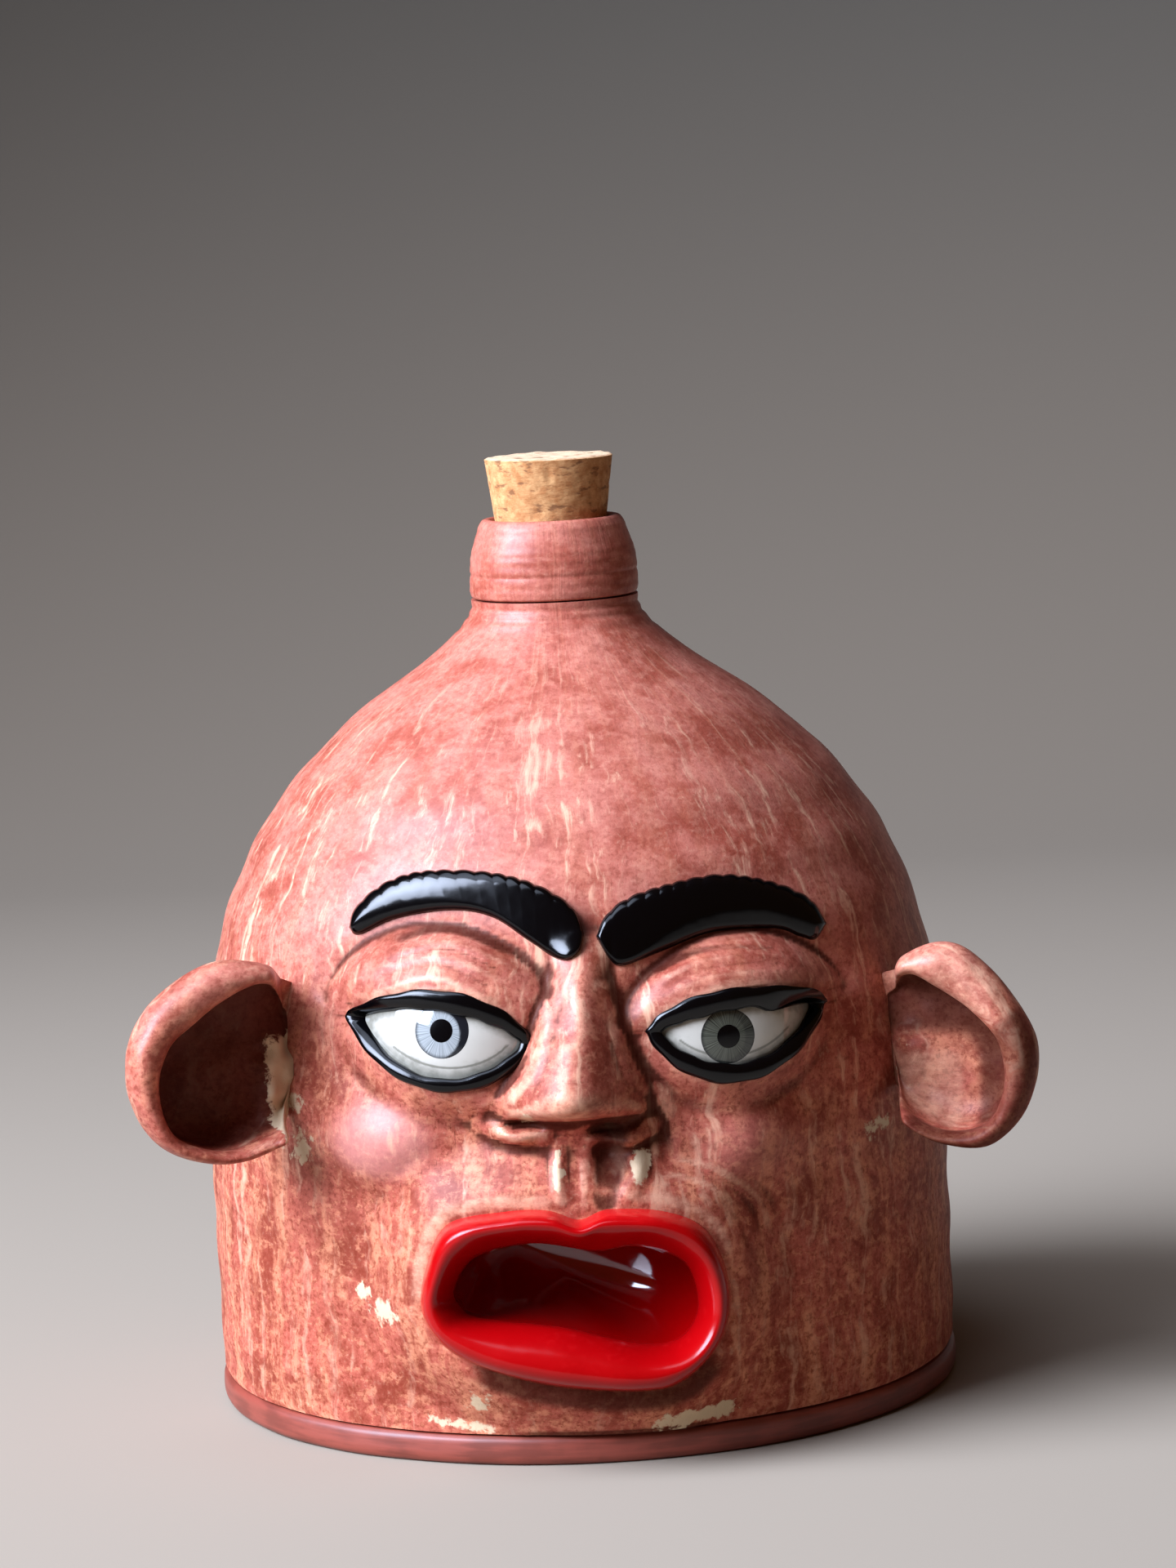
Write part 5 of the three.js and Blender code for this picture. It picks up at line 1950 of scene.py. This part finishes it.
# Ridges and grooves drawn in the face: each one's line, height and width.
STROKES = (
    Stroke(((-3.4, 60.5), (-3.8, 56.0), (-3.4, 51.5)), 1.3, 2.0),
    Stroke(((5.4, 63.0), (5.2, 57.0), (4.4, 51.8)), -3.6, 4.0),
    Stroke(((10.4, 60.0), (11.0, 56.0), (9.6, 52.4)), 1.6, 2.4),
    Stroke(((-3.0, 89.0), (-5.4, 82.0), (-8.0, 74.5), (-13.0, 69.6), (-19.5, 66.6)), 1.3, 2.6),
    Stroke(((6.6, 88.0), (8.6, 80.0), (11.0, 73.0), (15.6, 68.4)), 1.1, 2.6),
    Stroke(((12.0, 70.0), (15.5, 63.0), (16.0, 58.0)), -1.0, 2.6),
    Stroke(((15.0, 55.0), (22.0, 53.0), (29.0, 47.0), (32.0, 40.0)), 0.3, 1.5),
    Stroke(((-34.0, 96.5), (-22.0, 99.6), (-9.0, 95.0)), -0.7, 2.6),
    Stroke(((-33.0, 93.4), (-22.0, 95.4), (-12.0, 91.6)), -0.35, 1.2),
    Stroke(((-37.0, 90.0), (-25.0, 93.0), (-13.0, 88.4)), -0.4, 1.6),
    Stroke(((-36.0, 87.6), (-25.0, 90.4), (-14.0, 86.4)), 0.4, 1.0),
    Stroke(((14.0, 90.5), (26.0, 93.6), (40.0, 91.8)), -0.45, 2.0),
    Stroke(((16.0, 87.4), (27.0, 90.2), (41.0, 89.4)), -0.4, 1.7),
    Stroke(((-6.0, 87.0), (-9.4, 79.0), (-14.0, 73.0), (-22.0, 70.4)), -0.5, 1.4),
    Stroke(((17.0, 57.0), (25.0, 54.6), (32.5, 48.0), (35.0, 40.0)), 0.25, 1.8),
)
# Spots of cream slip: x, z and reach.
SLIPS = (
    (-37.5, 29.0, 7.0), (-41.0, 32.0, 4.2), (-20.5, 12.8, 6.0), (11.5, 57.5, 5.0), (-3.4, 56.0, 2.6),
    (-52.0, 58.0, 8.0), (-53.0, 66.0, 6.0), (-9.0, 66.0, 4.0), (56.0, 56.0, 6.0), (-14.0, 63.5, 4.0),
)
# Strokes of cream slip, with how much of it there is in place of a height.
SMEARS = (
    Stroke(((8.0, 8.0), (18.0, 8.2), (31.0, 9.4)), 0.7, 3.8),
    Stroke(((-3.6, 61.0), (-4.1, 56.0), (-3.8, 51.4)), 0.74, 1.5),
    Stroke(((-33.0, 9.4), (-24.0, 7.8), (-15.0, 7.2)), 0.56, 2.6),
    Stroke(((11.0, 60.4), (11.4, 57.0), (10.6, 53.0)), 1.3, 3.6),
)
# Strokes of painted shade, below 0, that darken creases, the shadow under the lower lip and the side away
# from the lamp as hollows are, and above 0 of pale rubbing with painted highlight along ridges, the philtrum
# and the lips' edges.
SHADE_AND_HIGHLIGHT_STROKES = (
    Stroke(((-24.5, 20.2), (-9.0, 15.2), (9.0, 13.0), (19.0, 14.6), (27.0, 23.0)), -1.4, 4.8),
    Stroke(((28.0, 22.0), (31.0, 34.0), (28.0, 46.0)), -0.7, 5.0),
    Stroke(((-37.0, 95.0), (-22.0, 98.0), (-9.0, 93.5)), -0.5, 3.6),
    Stroke(((12.0, 90.0), (26.0, 93.0), (42.0, 91.0)), -0.5, 3.6),
    Stroke(((4.0, 94.0), (7.5, 86.0), (10.5, 76.0), (15.0, 69.0)), -0.6, 4.6),
    Stroke(((-4.0, 95.0), (-5.5, 88.0), (-9.0, 80.0)), -0.35, 3.6),
    Stroke(((0.0, 108.0), (3.0, 100.0), (3.6, 92.0)), -0.9, 6.5),
    Stroke(((6.0, 66.0), (5.8, 59.0), (4.8, 51.0)), -2.6, 5.4),
    Stroke(((5.0, 63.4), (9.5, 62.0), (14.5, 63.4)), -1.3, 4.0),
    Stroke(((17.0, 57.0), (25.0, 54.6), (32.5, 48.0), (35.0, 40.0)), 1.0, 1.5),
    Stroke(((14.0, 54.4), (22.0, 52.4), (28.6, 46.8)), 0.8, 1.2),
    Stroke(((-30.6, 31.0), (-29.6, 40.0), (-25.0, 48.6), (-14.0, 51.0), (-4.0, 50.6)), 1.1, 2.0),
    Stroke(((8.0, 51.0), (16.0, 50.2), (24.0, 45.4), (27.6, 38.0)), 0.9, 1.8),
    Stroke(((-4.2, 60.0), (-4.4, 56.0), (-3.8, 52.0)), 0.9, 1.8),
    Stroke(((0.4, 61.0), (0.4, 56.0), (0.0, 51.0)), 1.1, 3.0),
)


def main() -> None:
    """Builds the jug's pieces in order."""
    logging.basicConfig(level=logging.INFO, format="%(message)s")
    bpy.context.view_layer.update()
    Studio().build()

    wall = WallOutline()
    clay = Stoneware().make()
    black = GlossGlaze(
        "black_gloss_glaze", "black_glaze", "#020203", "#05060a", roughness=0.15, ior=1.4).make()
    red = GlossGlaze(
        "red_gloss_glaze", "red_glaze", "#960205", "#bb1517", roughness=0.2, ior=1.38).make()
    pooled = GlossGlaze(
        "pooled_red_glaze", "red_glaze", "#930103", "#a30507", roughness=0.07, ior=1.65, ripple=0.12).make()
    # The white's thin colour is a grey that paints the lids' shade on the ball.
    white = GlossGlaze(
        "white_gloss_glaze", "white_glaze", "#b7b1a4", "#767367", roughness=0.06, ripple=0.1).make()

    eyes = {
        Side.LEFT: Eye(
            Side.LEFT, x=29.8, z=80.8, half_width=14.6, rise=4.6, drop=8.6, tilt=math.radians(2.2),
            gaze=(28.5, 78.9), upper_width=10.6, lower_width=8.6, upper_rim=2.0, lower_rim=1.75, wall=wall),
        Side.RIGHT: Eye(
            Side.RIGHT, x=-23.9, z=81.4, half_width=15.2, rise=6.2, drop=8.6, tilt=math.radians(-7.6),
            gaze=(-24.0, 82.6), upper_width=12.6, lower_width=9.0, upper_rim=1.85, lower_rim=1.35, wall=wall),
    }
    outer, inner = (Loop(points, MOUTH_MIDDLE) for points in (LIP_OUTER, LIP_INNER))
    # The hole in the wall runs under the middle of the lips.
    turn = np.linspace(-3.1, 3.1, 60)
    hole = Loop([tuple(spot) for spot in 0.5 * (outer.at(turn) + inner.at(turn))], MOUTH_MIDDLE)
    face = ClayFace(
        wall, list(eyes.values()),
        [Lid(eye, upper) for eye in eyes.values() for upper in (True, False)],
        # The cheek towards the lamp gets the full rub, partly as a painted highlight.
        [Nose(), Muzzle(outer), Cheek(Side.LEFT, x=31.5, z=57.5, rub=0.35),
         Cheek(Side.RIGHT, x=-36.5, z=61.0, rub=1.0)],
        STROKES,
    )
    ClayBody(wall, face, hole, clay, SLIPS, SMEARS, SHADE_AND_HIGHLIGHT_STROKES).build()
    # Each eye's iris, how dark its crescent is, and the angle and size of the corner that its rim fills.
    irises = {
        Side.LEFT: (PaintedIris("grey_green_iris", "green_iris", "#55564a", "#2c2d25"), 0.4, 0.6, 3.2),
        Side.RIGHT: (PaintedIris("blue_grey_iris", "blue_iris", "#a0a3a2", "#707473"), 1.0, math.pi, 1.9),
    }
    for side, eye in eyes.items():
        paint, crescent, fill_angle, corner_fill = irises[side]
        EyeSet(eye, white, paint.make(), black, crescent, fill_angle, corner_fill).build()
        Brow(side, *BROWS[side], face, black).build()
        Ear(side, *EARS[side], wall, clay).build()
    mouth = Mouth(wall, outer, inner, red, pooled)
    mouth.lips()
    mouth.pocket()
    Neck(wall, clay).build()
    Stopper(NaturalCork().make()).build()
    Base(RedClay().make()).build()


if __name__ == "__main__":
    main()
